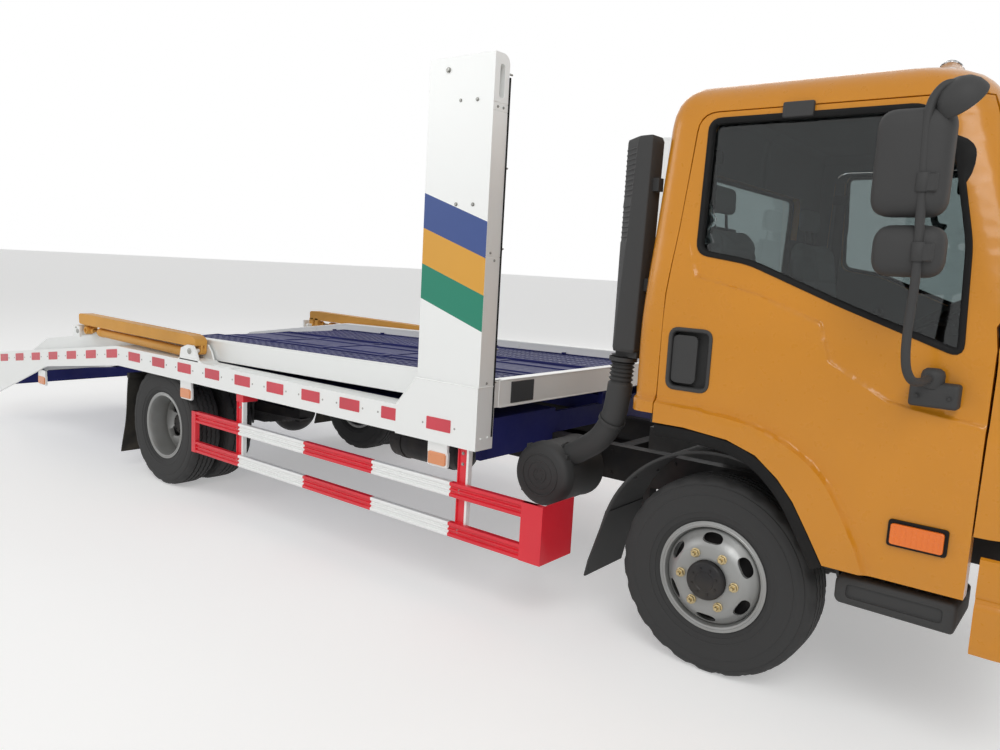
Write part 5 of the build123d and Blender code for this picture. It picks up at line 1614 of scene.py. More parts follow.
def build_deck():
    """Upper deck: perforated tracks, lowered middle, rails, front beam and its fittings."""
    inner = DECK_HALF_W - DECK_RAIL_W
    for side in SIDES:
        track = slotted_track(side, 0.334, inner - 0.001)
        piece(SIDE_NAMES[side] + "_deck_track", track, "upper_deck", "blue_paint",
              ["deck_floor"] if side < 0 else (), smooth=30)
        edge = Form(side)
        fold = [(0.336, 0.006), (0.332, 0.0065), (0.33, 0.003), (0.33, -0.014),
                (0.3335, -0.014), (0.3345, -0.001)]
        edge.skin(deck_strip(fold, TRACK_TAIL, TRACK_FRONT, TRACK_DROP, 0.5))
        ribs = [(inner - 0.028, 0.0005), (inner - 0.03, 0.005), (inner - 0.0015, 0.006),
                (inner - 0.0015, 0.0005)]
        edge.skin(deck_strip(ribs, TRACK_TAIL, TRACK_FRONT, TRACK_DROP, 0.5))
        under = [(0.336, -0.036), (inner - 0.003, -0.036), (inner - 0.003, -0.039), (0.336, -0.039)]
        edge.skin(deck_strip(under, -5.8, DECK_FRONT - 0.066, TRACK_DROP, 0.5))
        for y in (0.47, 0.62, 0.77):
            bar = [(y - 0.018, -0.006), (y + 0.018, -0.006), (y + 0.018, -0.034),
                   (y - 0.018, -0.034)]
            edge.skin(deck_strip(bar, -5.8, DECK_FRONT - 0.11, TRACK_DROP, 0.6))
        piece(SIDE_NAMES[side] + "_track_edges", edge, "upper_deck", "blue_paint", bevel=0.001)
    sheet = Form()
    section = [(-0.33, 0.0), (-0.322, -0.001), (0.322, -0.001), (0.33, 0.0), (0.33, -0.005), (-0.33, -0.005)]
    sheet.skin(deck_strip(section, -5.895, TRACK_FRONT, MIDDLE_DROP, 0.4))
    for x in steps(-5.6, -1.4, 0.6):
        z = deck_z(x, MIDDLE_DROP)
        sheet.box(x - 0.02, x + 0.02, -0.318, 0.318, z - 0.002, z + 0.0045)
    for y in (-0.16, 0.16):
        rib = [(y - 0.02, -0.001), (y - 0.014, 0.006), (y + 0.014, 0.006), (y + 0.02, -0.001)]
        sheet.skin(deck_strip(rib, -5.85, DECK_FRONT - 0.09, MIDDLE_DROP, 0.6))
    piece("deck_middle", sheet, "upper_deck", "blue_paint", bevel=0.001)

    finish_node("deck_frame", "white_paint", 0.003)
    beam = Form()
    low, high = 0.927, DECK_RAIL_TOP
    for y in (-0.94, 0.94):
        beam.box(DECK_FRONT - 0.062, DECK_FRONT + 0.0015, y - 0.01, y + 0.01, low - 0.002, high + 0.002)
    for z in (low, high):
        bar = [(DECK_FRONT + 0.0005, z - 0.004), (DECK_FRONT + 0.004, z - 0.002), (DECK_FRONT + 0.004, z + 0.002),
               (DECK_FRONT - 0.006, z + 0.004), (DECK_FRONT - 0.006, z - 0.004)]
        beam.prism(bar, -0.938, 0.938)
    for side in SIDES:
        beam.side = side
        lip = [(DECK_HALF_W + 0.0008, 0.002), (DECK_HALF_W + 0.0008, -0.01), (DECK_HALF_W - 0.004, -0.01),
               (DECK_HALF_W - 0.006, 0.003), (inner + 0.006, 0.003), (inner + 0.001, -0.012),
               (inner - 0.001, -0.012), (inner - 0.001, 0.0015), (inner + 0.004, 0.005),
               (DECK_HALF_W - 0.004, 0.005)]
        beam.skin(deck_strip(lip, -5.755, DECK_FRONT - 0.002, 0.0, 0.5))
        for x in steps(-5.5, -1.6, 0.78):
            z = deck_z(x, 0.0)
            beam.box(x - 0.003, x + 0.003, inner - 0.004, inner + 0.001, z - 0.052, z - 0.012)
    piece("deck_beam_edges", beam, "upper_deck", "white_paint", bevel=0.001)
    plate = Form()
    plate.prism(rounded(rectangle(-0.86, -0.68, 0.938, 1.04), 0.004), DECK_FRONT + 0.0005, DECK_FRONT + 0.003, "x")
    for y in (-0.85, -0.69):
        for z in (0.946, 1.032):
            plate.turned([(0, 0.004), (0.002, 0.003)], (DECK_FRONT + 0.0028, y, z), (1, 0, 0), 10)
    piece("deck_plate", plate, "upper_deck", "blank_plate", bevel=0.0006)
    fittings = Form()
    fittings.box(DECK_FRONT - 0.03, DECK_FRONT - 0.002, -0.02, 0.14, 0.85, 0.9275)
    for y in (0.02, 0.1):
        fittings.turned([(0, 0.016), (0.018, 0.016), (0.022, 0.011)], (DECK_FRONT - 0.002, y, 0.886), (1, 0, 0), 20)
    for side in SIDES:
        fittings.side = side
        for k in range(8):
            x = -1.35 - 0.62 * k
            fittings.box(x - 0.01, x + 0.01, inner - 0.03, inner - 0.002, deck_z(x, 0.051), deck_z(x, 0.04))
    piece("deck_fittings", fittings, "upper_deck", "blue_paint", bevel=0.0015)


def build_arms():
    """Lift arms as box beams with rounded ends, their cylinders, rods, pins and hoses' fittings."""
    for side in SIDES:
        name = SIDE_NAMES[side]
        body = name + "_arm"
        y0, y1 = ARM_Y
        outline = [(-4.935, 1.058), (-4.905, EYE_Y), (-3.42, 1.042), (-3.37, 1.02), (-3.37, 0.978), (-3.44, 0.974),
                   (-4.86, 0.986), (-4.93, 0.99)]
        form = Form(side)
        form.prism(rounded(outline, 0.016, 4), y0, y1)
        for x, z in (ARM_PIVOT, ARM_END):
            knuckle = []
            for k in range(17):
                a = math.pi + math.pi * k / 16
                knuckle.append((x + KNUCKLE_R * math.cos(a), z + KNUCKLE_R * math.sin(a)))
            knuckle += [(x + KNUCKLE_R, 1.0), (x - KNUCKLE_R, 1.0)]
            for a, b in ((1.018, 1.034), (1.042, 1.058)):
                form.prism(knuckle, a, b)
            form.rod((x, 1.033, z), (x, 1.043, z), 0.0262, 28)
        # weld seams along the beam's corners
        for y in (1.0195, 1.0985):
            form.rod((-4.89, y, 1.064), (-3.44, y, 1.043), 0.0025, 6)
        form.box(-4.858, -4.818, 1.018, 1.056, 0.933, 1.0)
        piece(name + "_arm_beam", form, body, "arm_yellow", [body], bevel=0.003, smooth=40)

        turn = math.atan2(ROD_EYE[1] - CYL_PIVOT[1], CYL_PIVOT[0] - ROD_EYE[0])
        along = Vector((-math.cos(turn), 0, math.sin(turn)))
        start = Vector((CYL_PIVOT[0], CYL_Y, CYL_PIVOT[1]))
        tube = Form(side)
        barrel_profile = [(0.07, 0.026), (0.071, 0.0315), (0.105, 0.0315), (0.107, 0.03), (1.19, 0.03), (1.192, 0.0325),
                          (1.238, 0.0325), (1.246, 0.03), (1.25, 0.0245), (1.25, 0.018), (1.236, 0.018), (0.12, 0.018),
                          (0.12, 0.004), (0.07, 0.004)]
        tube.turned(barrel_profile, start, along, 40, ring=True)
        for a in (0.165, 1.165):
            port = start + along * a
            tube.turned([(0.02, 0.012), (0.034, 0.012), (0.036, 0.01)], port, (0, -1, 0.45), 16)
        eye = Vector((CYL_PIVOT[0], EYE_Y, CYL_PIVOT[1]))
        tube.turned([(0, 0.0104), (0, 0.02), (0.032, 0.02), (0.032, 0.0104)], eye, (0, 1, 0), 32, ring=True)
        tube.box(CYL_PIVOT[0] - 0.11, CYL_PIVOT[0] - 0.018, EYE_Y, 1.086, CYL_PIVOT[1] - 0.011,
                 CYL_PIVOT[1] + 0.013)
        piece(name + "_cylinder", tube, name + "_barrel", "arm_yellow", [name + "_barrel"], bevel=0.0015,
              smooth=40)
        seal = Form(side)
        seal.turned([(1.2502, 0.0178), (1.2502, 0.024), (1.254, 0.0235), (1.254, 0.0178)], start, along, 32, ring=True)
        piece(name + "_rod_seal", seal, name + "_barrel", "rubber", smooth=40)

        shaft = Form(side)
        shaft.turned([(0.25, 0.016), (0.252, 0.017), (1.36, 0.017), (1.362, 0.016)], start, along, 36)
        piece(name + "_piston_rod", shaft, name + "_rod", "chrome", [name + "_rod"], smooth=50)
        eye_form = Form(side)
        eye = Vector((ROD_EYE[0], EYE_Y, ROD_EYE[1]))
        eye_form.turned([(0, 0.0146), (0, 0.025), (0.002, 0.027), (0.03, 0.027), (0.032, 0.025), (0.032, 0.0146)], eye,
                        (0, 1, 0), 40, ring=True)
        eye_form.turned([(1.335, 0.0175), (1.335, 0.0215), (1.36, 0.0215), (1.363, 0.0175)], start, along, 6, ring=True)
        eye_form.box(ROD_EYE[0] + 0.018, ROD_EYE[0] + 0.06, EYE_Y, 1.072, 0.937, 0.959)
        piece(name + "_rod_eye", eye_form, name + "_rod", "arm_yellow", bevel=0.001, smooth=40)
        pins = Form(side)
        pins.turned([(0, 0.017), (0.004, 0.017), (0.006, 0.014)], (ARM_END[0], DECK_PIN_Y, ARM_END[1]), (0, 1, 0), 28)
        pins.bolt((-4.935, DECK_PIN_Y, 0.96), (0, 1, 0), 0.007)
        piece(name + "_deck_pin", pins, "upper_deck", "bolt_steel", smooth=40)


def build_ramps():
    """Slide-out ramps stowed under the tail's floor."""
    finish_node("rear_ramps", "white_paint", 0.003)
    grips = Form()
    for side in SIDES:
        grips.side = side
        for k in range(10):
            x = -6.81 + 0.03 + k * 0.113
            z = bed_z(x, BED_FLOOR) - 0.097 - 0.028
            for y in steps(0.51, 1.01, 0.05):
                grips.box(x - 0.01, x + 0.01, y - 0.004, y + 0.004, z + 0.019, z + 0.026)
    grips.side = 1
    x = BED_TAIL - 0.048
    z = bed_z(BED_TAIL - 0.03, BED_FLOOR) - 0.125
    grips.tube([(x + 0.01, -0.07, z), (x - 0.012, -0.06, z), (x - 0.014, 0.0, z), (x - 0.012, 0.06, z),
                (x + 0.01, 0.07, z)], 0.007)
    piece("ramp_grips", grips, "ramps", "white_paint", bevel=0.001)


# Duct's edges at its foot and top, as seen from the side
DUCT_FRONT = (-0.399, -0.385)
DUCT_EDGE = (-0.494, -0.45)
DUCT_LOW = 1.25
DUCT_LONG = 0.87
DUCT_RIBS = ((1.7, 1.835), (1.875, 2.085))
RIB_PITCH = 0.0205
DRUM_AT = (-0.85, 0.9, 0.643)


def build_intake():
    """Ribbed intake duct behind the cab, its bellows and the air cleaner drum."""
    stack = Form(-1)
    rings = []
    ribs = DUCT_RIBS
    levels = [1.25, 1.262]
    z = 1.3
    while z < 2.1:
        if any(low <= z <= high for low, high in ribs):
            levels += [z, z + 0.006, z + 0.01, z + 0.016]
            z += RIB_PITCH
        else:
            levels.append(z)
            z += 0.04
    levels += [2.104, 2.118]
    for z in levels:
        share = (z - DUCT_LOW) / DUCT_LONG
        x1 = DUCT_FRONT[0] + (DUCT_FRONT[1] - DUCT_FRONT[0]) * share
        edge = DUCT_EDGE[0] + (DUCT_EDGE[1] - DUCT_EDGE[0]) * share
        on_rib = any(low <= z <= high + 0.02 for low, high in ribs)
        phase = 0.0
        if on_rib:
            phase = 0.006 if round((z - ribs[0][0]) / RIB_PITCH % 1, 2) > 0.25 else 0.0
        end = 0.006 if z < 1.255 or z > 2.11 else 0.0
        top = (z - 2.1) * 2.0 if z > 2.1 else 0.0
        outline = [(x1 - end, 0.928 - end), (edge + end, 0.928 - end), (edge - 0.012 + phase, 0.916 - end),
                   (-0.546 + 0.5 * phase + end, 0.85), (-0.546 + end, 0.824 + end), (x1 - end, 0.824 + end)]
        rings.append([(u, v, z + top * (u + 0.47)) for u, v in rounded(outline, 0.01, 3)])
    stack.skin(rings)
    stack.prism([(-0.5, 0.9), (-0.4, 0.9), (-0.4, 0.83), (-0.535, 0.83)] , 1.226, 1.252, "z")
    for z in (1.53, 1.93):
        stack.box(-0.42, -0.362, 0.895, 0.855, z - 0.026, z + 0.026)
    piece("intake_duct", stack, "cab", "black_plastic", ["intake_stack"], bevel=0.0012, smooth=30)

    lower = Form(-1)
    path = smooth_path([(-0.478, 0.868, 1.232), (-0.482, 0.868, 1.15), (-0.492, 0.864, 1.05),
                        (-0.522, 0.85, 0.945), (-0.59, 0.826, 0.85), (-0.685, 0.802, 0.782),
                        (-0.79, 0.79, 0.72)], 10)
    rings = []
    total = len(path)
    for i, here in enumerate(path):
        ahead = direction(path, i)
        across = Vector((0, 1, 0))
        up = ahead.cross(across).normalized()
        share = i / (total - 1)
        r = 0.047 + (0.005 * math.cos(i * math.pi) if share < 0.25 else 0.006)
        rings.append([here + across * r * math.cos(a) + up * r * math.sin(a)
                      for a in turns(28)])
    lower.skin(rings)
    for i in (2, int(total * 0.5), total - 4):
        here = path[i]
        ahead = direction(path, i)
        lower.turned([(-0.008, 0.0555), (-0.008, 0.059), (0.008, 0.059), (0.008, 0.0555)], here, ahead, 32, ring=True)
    drum_profile = [(0.0, 0.04), (0.003, 0.12), (0.01, 0.136), (0.024, 0.146), (0.05, 0.148), (0.056, 0.15),
                    (0.068, 0.15), (0.074, 0.146), (0.3, 0.144), (0.306, 0.1485), (0.318, 0.1485), (0.324, 0.143),
                    (0.338, 0.13), (0.34, 0.05)]
    lower.turned(drum_profile, DRUM_AT, (0, -1, 0), 64)
    for r0, r1, lift in ((0.03, 0.038, 0.0045), (0.06, 0.067, 0.003), (0.092, 0.099, 0.003)):
        lower.turned([(0, r0), (lift, r0 + 0.001), (lift, r1 - 0.001), (0, r1)], (-0.85, 0.8985, 0.643),
                     (0, 1, 0), 48, ring=True)
    for k in range(6):
        a = math.radians(60 * k + 12)
        at = (DRUM_AT[0] + 0.02 * math.cos(a), DRUM_AT[1], DRUM_AT[2] + 0.02 * math.sin(a))
        lower.bolt(at, (0, 1, 0), 0.004)
    for k in range(4):
        a = math.radians(90 * k + 40)
        x, z = DRUM_AT[0] + 0.15 * math.cos(a), DRUM_AT[2] + 0.15 * math.sin(a)
        lower.box(x - 0.008, x + 0.008, 0.865, 0.83, z - 0.008, z + 0.008)
    lower.box(-0.88, -0.82, 0.565, 0.412, 0.602, 0.688)
    piece("air_filter", lower, "chassis", "black_plastic", ["air_cleaner"], smooth=40, bevel=0.001)


def build_running_gear():
    """Carried-over solids of the frame with their fittings."""
    for node, look, edge in (("chassis_frame", "black_paint", 0.003), ("engine", "iron", 0.006),
                             ("axles", "black_paint", 0.004),
                             ("right_knuckle", "iron", 0.002), ("left_knuckle", "iron", 0.002),
                             ("fuel_tank", "tank_metal", 0.004), ("cab_floor", "dark_trim", 0.004)):
        finish_node(node, look, edge)
    tank = Form()
    for x in (-2.0, -1.6):
        ring = []
        for inset in (0.0, 0.004):
            shape = rounded(rectangle(0.426 + inset, 0.834 - inset, 0.356 + inset, 0.704 - inset), 0.064, 8)
            ring.append([(u, v) for u, v in shape])
        outer, inner = ring
        tank.skin([[(x - 0.022, u, v) for u, v in outer], [(x + 0.022, u, v) for u, v in outer],
                   [(x + 0.022, u, v) for u, v in inner], [(x - 0.022, u, v) for u, v in inner]], closed=True)
        tank.bolt((x, 0.836, 0.58), (0, 1, 0), 0.01)
    tank.turned([(0, 0.03), (0.02, 0.034), (0.045, 0.034), (0.05, 0.026)], (-1.56, 0.7, 0.698), (0, 0.3, 1), 28)
    piece("tank_straps", tank, "chassis", "bolt_steel", bevel=0.001, smooth=40)
    springs = Form()
    for side in SIDES:
        springs.side = side
        for x0, leaves, reach, z in ((0.0, 5, 0.56, 0.405), (REAR, 7, 0.62, 0.44)):
            for k in range(leaves):
                half = reach * (1 - k * 0.11)
                arch = []
                for i in range(13):
                    u = -half + 2 * half * i / 12
                    arch.append((x0 + u, z + 0.002 - k * 0.0105 + 0.016 * (u / reach) ** 2))
                top = [(u, v + 0.0088) for u, v in arch[::-1]]
                springs.prism(arch + top, 0.338, 0.412)
            for u in (-0.075, 0.075):
                for y in (0.334, 0.416):
                    springs.rod((x0 + u, y, z - 0.085), (x0 + u, y, z + 0.075), 0.008, 10)
            springs.box(x0 - 0.095, x0 + 0.095, 0.33, 0.42, z + 0.064, z + 0.074)
    piece("spring_leaves", springs, "chassis", "iron", bevel=0.001, smooth=40)
    air = Form()
    air.turned([(0, 0.04), (0.01, 0.085), (0.03, 0.105), (0.52, 0.105), (0.54, 0.085), (0.55, 0.04)],
               (-2.1, -0.56, 0.56), (1, 0, 0), 40)
    for x in (-2.0, -1.66):
        air.turned([(-0.018, 0.106), (-0.018, 0.11), (0.018, 0.11), (0.018, 0.106)], (x, -0.56, 0.56), (1, 0, 0),
                   40, ring=True)
        air.box(x - 0.018, x + 0.018, -0.47, -0.41, 0.6, 0.7)
    for x in steps(-4.5, 0.6, 0.34):
        for side in SIDES:
            air.side = side
            for z in (0.7, 0.59):
                air.turned([(0, 0.009), (0.006, 0.008)], (x, 0.4105, z), (0, 1, 0), 10)
    piece("frame_fittings", air, "chassis", "black_paint", smooth=40, bevel=0.001)


STEERING_AT = (0.47, 0.56, 1.47)
STEERING_LEAN = math.radians(32)
SEAT_FRONT = 0.325
SEAT_BACK = -0.195
SEAT_FLOOR = 1.032
SEAT_SWELL = 0.024


def cushion(name, rings, creases, spacing=0.005):
    """Seat pad: a shell swelled by cloth under pressure, then sewn channels pressed into it."""
    form = Form()
    form.skin(rings)
    mesh = form.mesh(name)
    pad = bpy.data.objects.new(name, mesh)
    bpy.context.scene.collection.objects.link(pad)
    voxels = pad.modifiers.new("voxels", "REMESH")
    voxels.mode = "VOXEL"
    voxels.voxel_size = spacing * 2.2
    graph = bpy.context.evaluated_depsgraph_get()
    pad.data = bpy.data.meshes.new_from_object(pad.evaluated_get(graph))
    pad.modifiers.clear()
    before = [v.co.copy() for v in pad.data.vertices]
    cloth = pad.modifiers.new("cloth", "CLOTH")
    cloth.settings.use_pressure = True
    cloth.settings.uniform_pressure_force = 4.0
    cloth.settings.effector_weights.gravity = 0.0
    cloth.settings.quality = 4
    scene = bpy.context.scene
    for frame_number in range(1, 21):
        scene.frame_set(frame_number)
    graph = bpy.context.evaluated_depsgraph_get()
    swelled = bpy.data.meshes.new_from_object(pad.evaluated_get(graph))
    pad.modifiers.clear()
    pad.data = swelled
    scene.frame_set(1)
    for v, old in zip(pad.data.vertices, before):
        move = v.co - old
        if move.length > SEAT_SWELL:
            v.co = old + move.normalized() * SEAT_SWELL
    normals = [v.normal.copy() for v in pad.data.vertices]
    for v, normal in zip(pad.data.vertices, normals):
        depth = 0.0
        for axis, place, width, amount in creases:
            reach = abs(v.co[axis] - place) / width
            if reach < 1:
                depth = max(depth, amount * (1 - reach * reach) ** 2)
        v.co -= normal * depth
    mesh = pad.data
    bpy.data.objects.remove(pad)
    made = piece(name, mesh, "cab", "seat_cloth", smooth=80)
    rounds = made.modifiers.new("rounds", "SUBSURF")
    rounds.levels = rounds.render_levels = 1
    return made


def seat_rings(section, y0, y1, inset, edge):
    """Rings of a side section across the seat, drawn in at both ends."""
    middle_x = sum(p[0] for p in section) / len(section)
    middle_z = sum(p[1] for p in section) / len(section)
    rings = []
    for y, draw in ((y0, inset), (y0 + edge * 0.35, inset * 0.35), (y0 + edge, 0.0), (y1 - edge, 0.0),
                    (y1 - edge * 0.35, inset * 0.35), (y1, inset)):
        ring = []
        for x, z in section:
            reach = math.hypot(x - middle_x, z - middle_z)
            share = 1 - draw / reach
            ring.append((middle_x + (x - middle_x) * share, y, middle_z + (z - middle_z) * share))
        rings.append(ring)
    return rings


def build_seats():
    """Driver's seat, passenger's bench with its head rests, frames and belts."""
    frames = Form()
    belts = Form()
    for side in SIDES:
        name = SIDE_NAMES[side]
        y0, y1 = sorted((side * 0.33, side * 0.82))
        base = rounded([(SEAT_BACK + 0.02, 1.165), (SEAT_FRONT - 0.045, 1.175), (SEAT_FRONT - 0.03, 1.285),
                        (SEAT_FRONT - 0.09, 1.3), (SEAT_BACK + 0.06, 1.285), (SEAT_BACK + 0.02, 1.27)], 0.03)
        creases = [(1, y0 + 0.105, 0.014, 0.01), (1, y1 - 0.105, 0.014, 0.01)]
        for x in (-0.02, 0.08, 0.18):
            creases.append((0, x + AXLE, 0.011, 0.007))
        cushion(name + "_seat_pad", seat_rings(base, y0, y1, 0.03, 0.05), creases)
        back = rounded([(-0.19, 1.33), (-0.112, 1.33), (-0.132, 1.56), (-0.18, 1.795), (-0.248, 1.795),
                        (-0.226, 1.56)], 0.035)
        creases = [(1, y0 + 0.1, 0.014, 0.01), (1, y1 - 0.1, 0.014, 0.01), (2, 1.46, 0.012, 0.008),
                   (2, 1.58, 0.012, 0.008), (2, 1.69, 0.012, 0.008)]
        cushion(name + "_seat_back", seat_rings(back, y0, y1, 0.03, 0.05), creases)
        head = rounded([(-0.255, 1.842), (-0.208, 1.842), (-0.214, 1.955), (-0.262, 1.955)], 0.022)
        y_mid = (y0 + y1) / 2
        cushion(name + "_head_rest", seat_rings(head, y_mid - 0.125, y_mid + 0.125, 0.018, 0.035), [])
        for y in (y_mid - 0.06, y_mid + 0.06):
            frames.rod((-0.225, y, 1.77), (-0.235, y, 1.86), 0.006, 12)
        frames.box(SEAT_BACK, SEAT_FRONT - 0.03, y0 + 0.02, y1 - 0.02, SEAT_FLOOR, 1.06)
        pillow(frames, (y0 + 0.01, 1.055, SEAT_BACK), (y1 - 0.01, 1.17, SEAT_FRONT - 0.02), "x", 0.025,
               [(0, 0.012), (0.04, 0.0), (0.94, 0.0), (1.0, 0.012)])
        frames.box(-0.272, -0.252, y0 + 0.02, y1 - 0.02, 1.32, 1.79)
        x_out = side * 0.842
        belts.box(-0.19, -0.14, x_out - 0.001, x_out + 0.001, 1.06, 2.02)
        belts.prism(rounded(rectangle(-0.205, -0.125, 2.005, 2.06), 0.015), x_out - side * 0.01, x_out + side * 0.012)
        buckle = side * 0.3
        belts.prism(rounded(rectangle(-0.15, -0.105, 1.245, 1.345), 0.01), buckle - 0.011, buckle + 0.011)
    piece("seat_frames", frames, "cab", "dark_trim", ["seats"], bevel=0.003)
    piece("belts", belts, "cab", "rubber", bevel=0.0006)


def build_dashboard():
    """Dashboard with its instrument hood, vents, glove box and the steering column."""
    form = Form()
    profile = [(0.9, 1.436), (0.76, 1.432), (0.69, 1.418), (0.652, 1.392), (0.642, 1.35), (0.648, 1.24),
               (0.668, 1.185), (0.96, 1.185), (0.962, 1.384)]
    form.prism(rounded(profile, 0.022, 4), -0.84, 0.84)
    hood = [(0.7, 1.405), (0.668, 1.47), (0.69, 1.492), (0.77, 1.48), (0.84, 1.43)]
    pillow_rings = []
    for y, drop in ((0.34, 0.05), (0.365, 0.012), (0.42, 0.0), (0.7, 0.0), (0.755, 0.012), (0.78, 0.05)):
        pillow_rings.append([(x, y, 1.405 + (z - 1.405) * (1 - drop * 10) if z > 1.405 else z) for x,
                             z in rounded(hood, 0.018, 3)])
    form.skin(pillow_rings)
    form.box(0.64, 0.655, -0.7, -0.26, 1.215, 1.33)
    form.box(0.628, 0.65, -0.2, 0.19, 1.2, 1.395)
    ahead = Vector((math.sin(STEERING_LEAN), 0, -math.cos(STEERING_LEAN)))
    hub = Vector(STEERING_AT)
    form.turned([(0.021, 0.026), (0.024, 0.034), (0.1, 0.04), (0.16, 0.046), (0.25, 0.044), (0.355, 0.04)], hub,
                ahead, 32)
    for s in (-1, 1):
        start = hub + ahead * 0.075
        form.rod(start, start + Vector((-0.02, s * 0.17, 0.035)), 0.0075, 12)
    piece("dashboard_shell", form, "cab", "dark_trim", ["dashboard"], bevel=0.005, smooth=40)
    details = Form()
    for y in (-0.76, -0.12, 0.11, 0.8):
        for k in range(5):
            z = 1.34 + k * 0.013
            details.box(0.624 if abs(y) < 0.3 else 0.64, 0.652, y - 0.05, y + 0.05, z, z + 0.006)
    for y in (-0.12, 0.0, 0.12):
        details.turned([(0, 0.02), (0.012, 0.018), (0.014, 0.015)], (0.629, y, 1.255), (-1, 0, 0), 24)
    details.box(0.623, 0.632, -0.09, 0.09, 1.285, 1.325)
    details.box(0.636, 0.642, -0.52, -0.44, 1.3, 1.314)
    piece("dashboard_details", details, "cab", "rubber", bevel=0.0015, smooth=40)
    dials = Form()
    for y in (0.49, 0.63):
        dials.turned([(0, 0.058), (0.003, 0.058), (0.004, 0.052)], (0.7, y, 1.435), (-0.9, 0, 0.35), 40)
    piece("dial_faces", dials, "cab", "blank_plate", smooth=40)
    lever = Form()
    lever.tube([(0.3, 0.1, 1.185), (0.3, 0.1, 1.29), (0.29, 0.11, 1.36), (0.27, 0.12, 1.42)], 0.008)
    lever.turned([(-0.02, 0.01), (0, 0.02), (0.025, 0.024), (0.045, 0.018), (0.052, 0.008)], (0.268, 0.121, 1.425),
                 (-0.25, 0.1, 1), 24)
    lever.turned([(0, 0.07), (0.012, 0.066), (0.05, 0.03), (0.075, 0.016), (0.09, 0.01)], (0.3, 0.1, 1.186),
                 (0, 0, 1), 28)
    piece("gear_lever", lever, "cab", "rubber", smooth=45)


def build_steering_wheel():
    """Steering wheel with a padded rim, three spokes and a centre pad."""
    up = Vector((-math.sin(STEERING_LEAN), 0, math.cos(STEERING_LEAN)))
    ahead = Vector((math.cos(STEERING_LEAN), 0, math.sin(STEERING_LEAN)))
    left = Vector((0, 1, 0))
    centre = Vector(STEERING_AT)
    form = Form()
    rings = []
    for k, a in enumerate(turns(72)):
        out = ahead * math.cos(a) + left * math.sin(a)
        thick = 0.015 + 0.0008 * (1 if k % 2 else 0)
        rings.append([centre + out * (0.205 + thick * math.cos(b)) + up * thick * math.sin(b)
                      for b in turns(16)])
    form.skin(rings, closed=True)
    for a in (90, 180, 270):
        out = ahead * math.cos(math.radians(a)) + left * math.sin(math.radians(a))
        across = up.cross(out)
        spoke = []
        for reach, wide, drop in ((0.03, 0.03, 0.004), (0.08, 0.024, 0.0), (0.15, 0.017, 0.0), (0.2, 0.02, 0.0)):
            mid = centre + out * reach - up * drop
            spoke.append([mid + across * wide + up * 0.003, mid + across * wide * 0.8 + up * 0.006,
                          mid - across * wide * 0.8 + up * 0.006, mid - across * wide + up * 0.003,
                          mid - across * wide * 0.8 - up * 0.006, mid + across * wide * 0.8 - up * 0.006])
        form.skin(spoke)
    form.turned([(-0.0145, 0.03), (-0.012, 0.058), (0.004, 0.07), (0.016, 0.064), (0.022, 0.048), (0.024, 0.02)],
                centre, up, 40)
    piece("steering_wheel_rim", form, "steering_wheel", "dark_trim", ["steering_wheel"], smooth=45)


def build_cab_trim():
    """Sun visors, grab handles, engine cover mat and inner mirror."""
    form = Form()
    for side in SIDES:
        pillow(form, (side * 0.08, 2.05, 0.56), (side * 0.62, 2.2, 0.59), "x", 0.03,
               [(0, 0.01), (0.3, 0.0), (0.7, 0.0), (1, 0.01)])
        form.tube([(0.655, side * 0.78, 1.78), (0.62, side * 0.77, 1.8), (0.6, side * 0.768, 1.9),
                   (0.575, side * 0.76, 2.02),
                   (0.6, side * 0.765, 2.05)], 0.011)
    piece("visors", form, "cab", "trim_grey", bevel=0.004, smooth=45)
    mirror = Form()
    pillow(mirror, (-0.12, 1.96, 0.56), (0.12, 2.03, 0.585), "x", 0.02,
           [(0, 0.003), (0.2, 0.0), (0.7, 0.002), (1, 0.02)])
    mirror.rod((0.58, 0, 2.0), (0.66, 0, 2.09), 0.007, 12)
    piece("inner_mirror", mirror, "cab", "rubber", bevel=0.002, smooth=45)
    cover = Form()
    rings = []
    for share, z in ((0.0, 1.055), (0.004, 1.15), (0.016, 1.182), (0.04, 1.1915)):
        rings.append([(u, v, z) for u, v in rounded(rectangle(-0.282 + share, 0.522 - share, -0.302 + share,
                                                              0.302 - share), 0.05)])
    cover.skin(rings)
    piece("engine_cover", cover, "cab", "dark_trim", bevel=0.004, smooth=45)


CAMERA_AT = (4.07, -3.85, 1.569)
CAMERA_YAW = math.radians(38.16)
CAMERA_PITCH = math.radians(7.58)
CAMERA_ROLL = math.radians(3.14)
CAMERA_LENS = 29.11
FLOOR = (0.8, 0.8, 0.79)
FLOOR_REACH = 150
FLOOR_GLOW = 0.36
WORLD_LIGHT = 0.33
KEY_POWER = 500
FILL_POWER = 230
BACK_POWER = 190


def place_camera():
    """Camera where the photograph was taken from."""
    data = bpy.data.cameras.new("camera")
    data.lens = CAMERA_LENS
    data.sensor_width = 36.0
    camera = bpy.data.objects.new("camera", data)
    bpy.context.scene.collection.objects.link(camera)
    level = math.cos(CAMERA_PITCH)
    ahead = Vector((-math.sin(CAMERA_YAW) * level, math.cos(CAMERA_YAW) * level, -math.sin(CAMERA_PITCH)))
    right = Vector((math.cos(CAMERA_YAW), math.sin(CAMERA_YAW), 0.0))
    up = right.cross(ahead)
    turn = Matrix.Rotation(CAMERA_ROLL, 3, -ahead)
    axes = Matrix((turn @ right, turn @ up, -ahead)).transposed().to_4x4()
    camera.matrix_world = Matrix.Translation(CAMERA_AT) @ axes
    bpy.context.scene.camera = camera


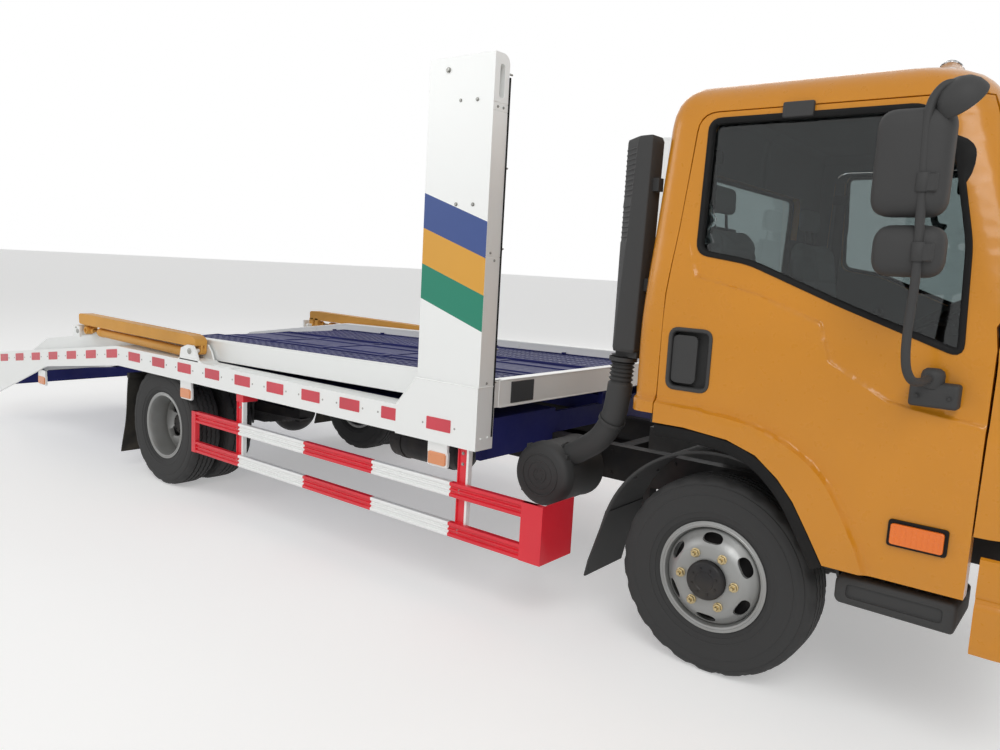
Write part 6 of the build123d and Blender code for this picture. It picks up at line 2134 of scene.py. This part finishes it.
def lamp(name, place, aim, size, power):
    """Soft area lamp that looks at a point."""
    data = bpy.data.lights.new(name, "AREA")
    data.shape = "RECTANGLE"
    data.size, data.size_y = size
    data.energy = power
    made = bpy.data.objects.new(name, data)
    bpy.context.scene.collection.objects.link(made)
    made.location = place
    made.rotation_euler = (Vector(aim) - Vector(place)).to_track_quat("-Z", "Y").to_euler()


def build_studio():
    """Pale floor, even light and a white background for camera, mirrors and glass."""
    form = Form()
    form.box(-AXLE - FLOOR_REACH, -AXLE + FLOOR_REACH, -FLOOR_REACH, FLOOR_REACH, -0.02, 0.0)
    floor = bpy.data.objects.new("studio_floor", form.mesh("studio_floor"))
    bpy.context.scene.collection.objects.link(floor)
    ground = bpy.data.materials.new("studio_floor")
    ground.use_nodes = True
    values = {"Base Color": (*FLOOR, 1.0), "Roughness": 0.75, "Emission Color": (1.0,) * 4,
              "Emission Strength": FLOOR_GLOW}
    for socket, value in values.items():
        ground.node_tree.nodes["Principled BSDF"].inputs[socket].default_value = value
    floor.data.materials.append(ground)

    world = bpy.data.worlds.new("studio")
    world.use_nodes = True
    bpy.context.scene.world = world
    nodes = world.node_tree.nodes
    link = world.node_tree.links.new
    back = nodes["Background"]
    rays = nodes.new("ShaderNodeLightPath")
    through = rays.outputs["Is Camera Ray"]
    for ray in ("Is Glossy Ray", "Is Transmission Ray"):
        either = nodes.new("ShaderNodeMath")
        either.operation = "MAXIMUM"
        link(through, either.inputs[0])
        link(rays.outputs[ray], either.inputs[1])
        through = either.outputs[0]
    level = nodes.new("ShaderNodeMapRange")
    level.inputs["To Min"].default_value = WORLD_LIGHT
    level.inputs["To Max"].default_value = 1.0
    link(through, level.inputs["Value"])
    link(level.outputs["Result"], back.inputs["Strength"])
    back.inputs["Color"].default_value = (1.0, 1.0, 1.0, 1.0)
    lamp("key", (7.0, -8.0, 8.5), (0.5, 0.0, 1.2), (6.0, 6.0), KEY_POWER)
    lamp("fill", (-9.0, -9.0, 6.5), (-1.0, 0.0, 1.0), (7.0, 5.0), FILL_POWER)
    lamp("back", (-3.0, 9.0, 7.5), (0.0, 0.0, 1.0), (8.0, 5.0), BACK_POWER)


def main():
    place_camera()
    build_studio()
    build_doors()
    build_shell()
    build_wheels()
    build_mirrors()
    build_front()
    build_arches()
    build_undercab()
    build_columns()
    build_beams()
    build_guards()
    build_bed_lamps()
    build_deck()
    build_arms()
    build_ramps()
    build_intake()
    build_running_gear()
    build_seats()
    build_dashboard()
    build_steering_wheel()
    build_cab_trim()
    bpy.context.scene.view_settings.view_transform = "Standard"


main()
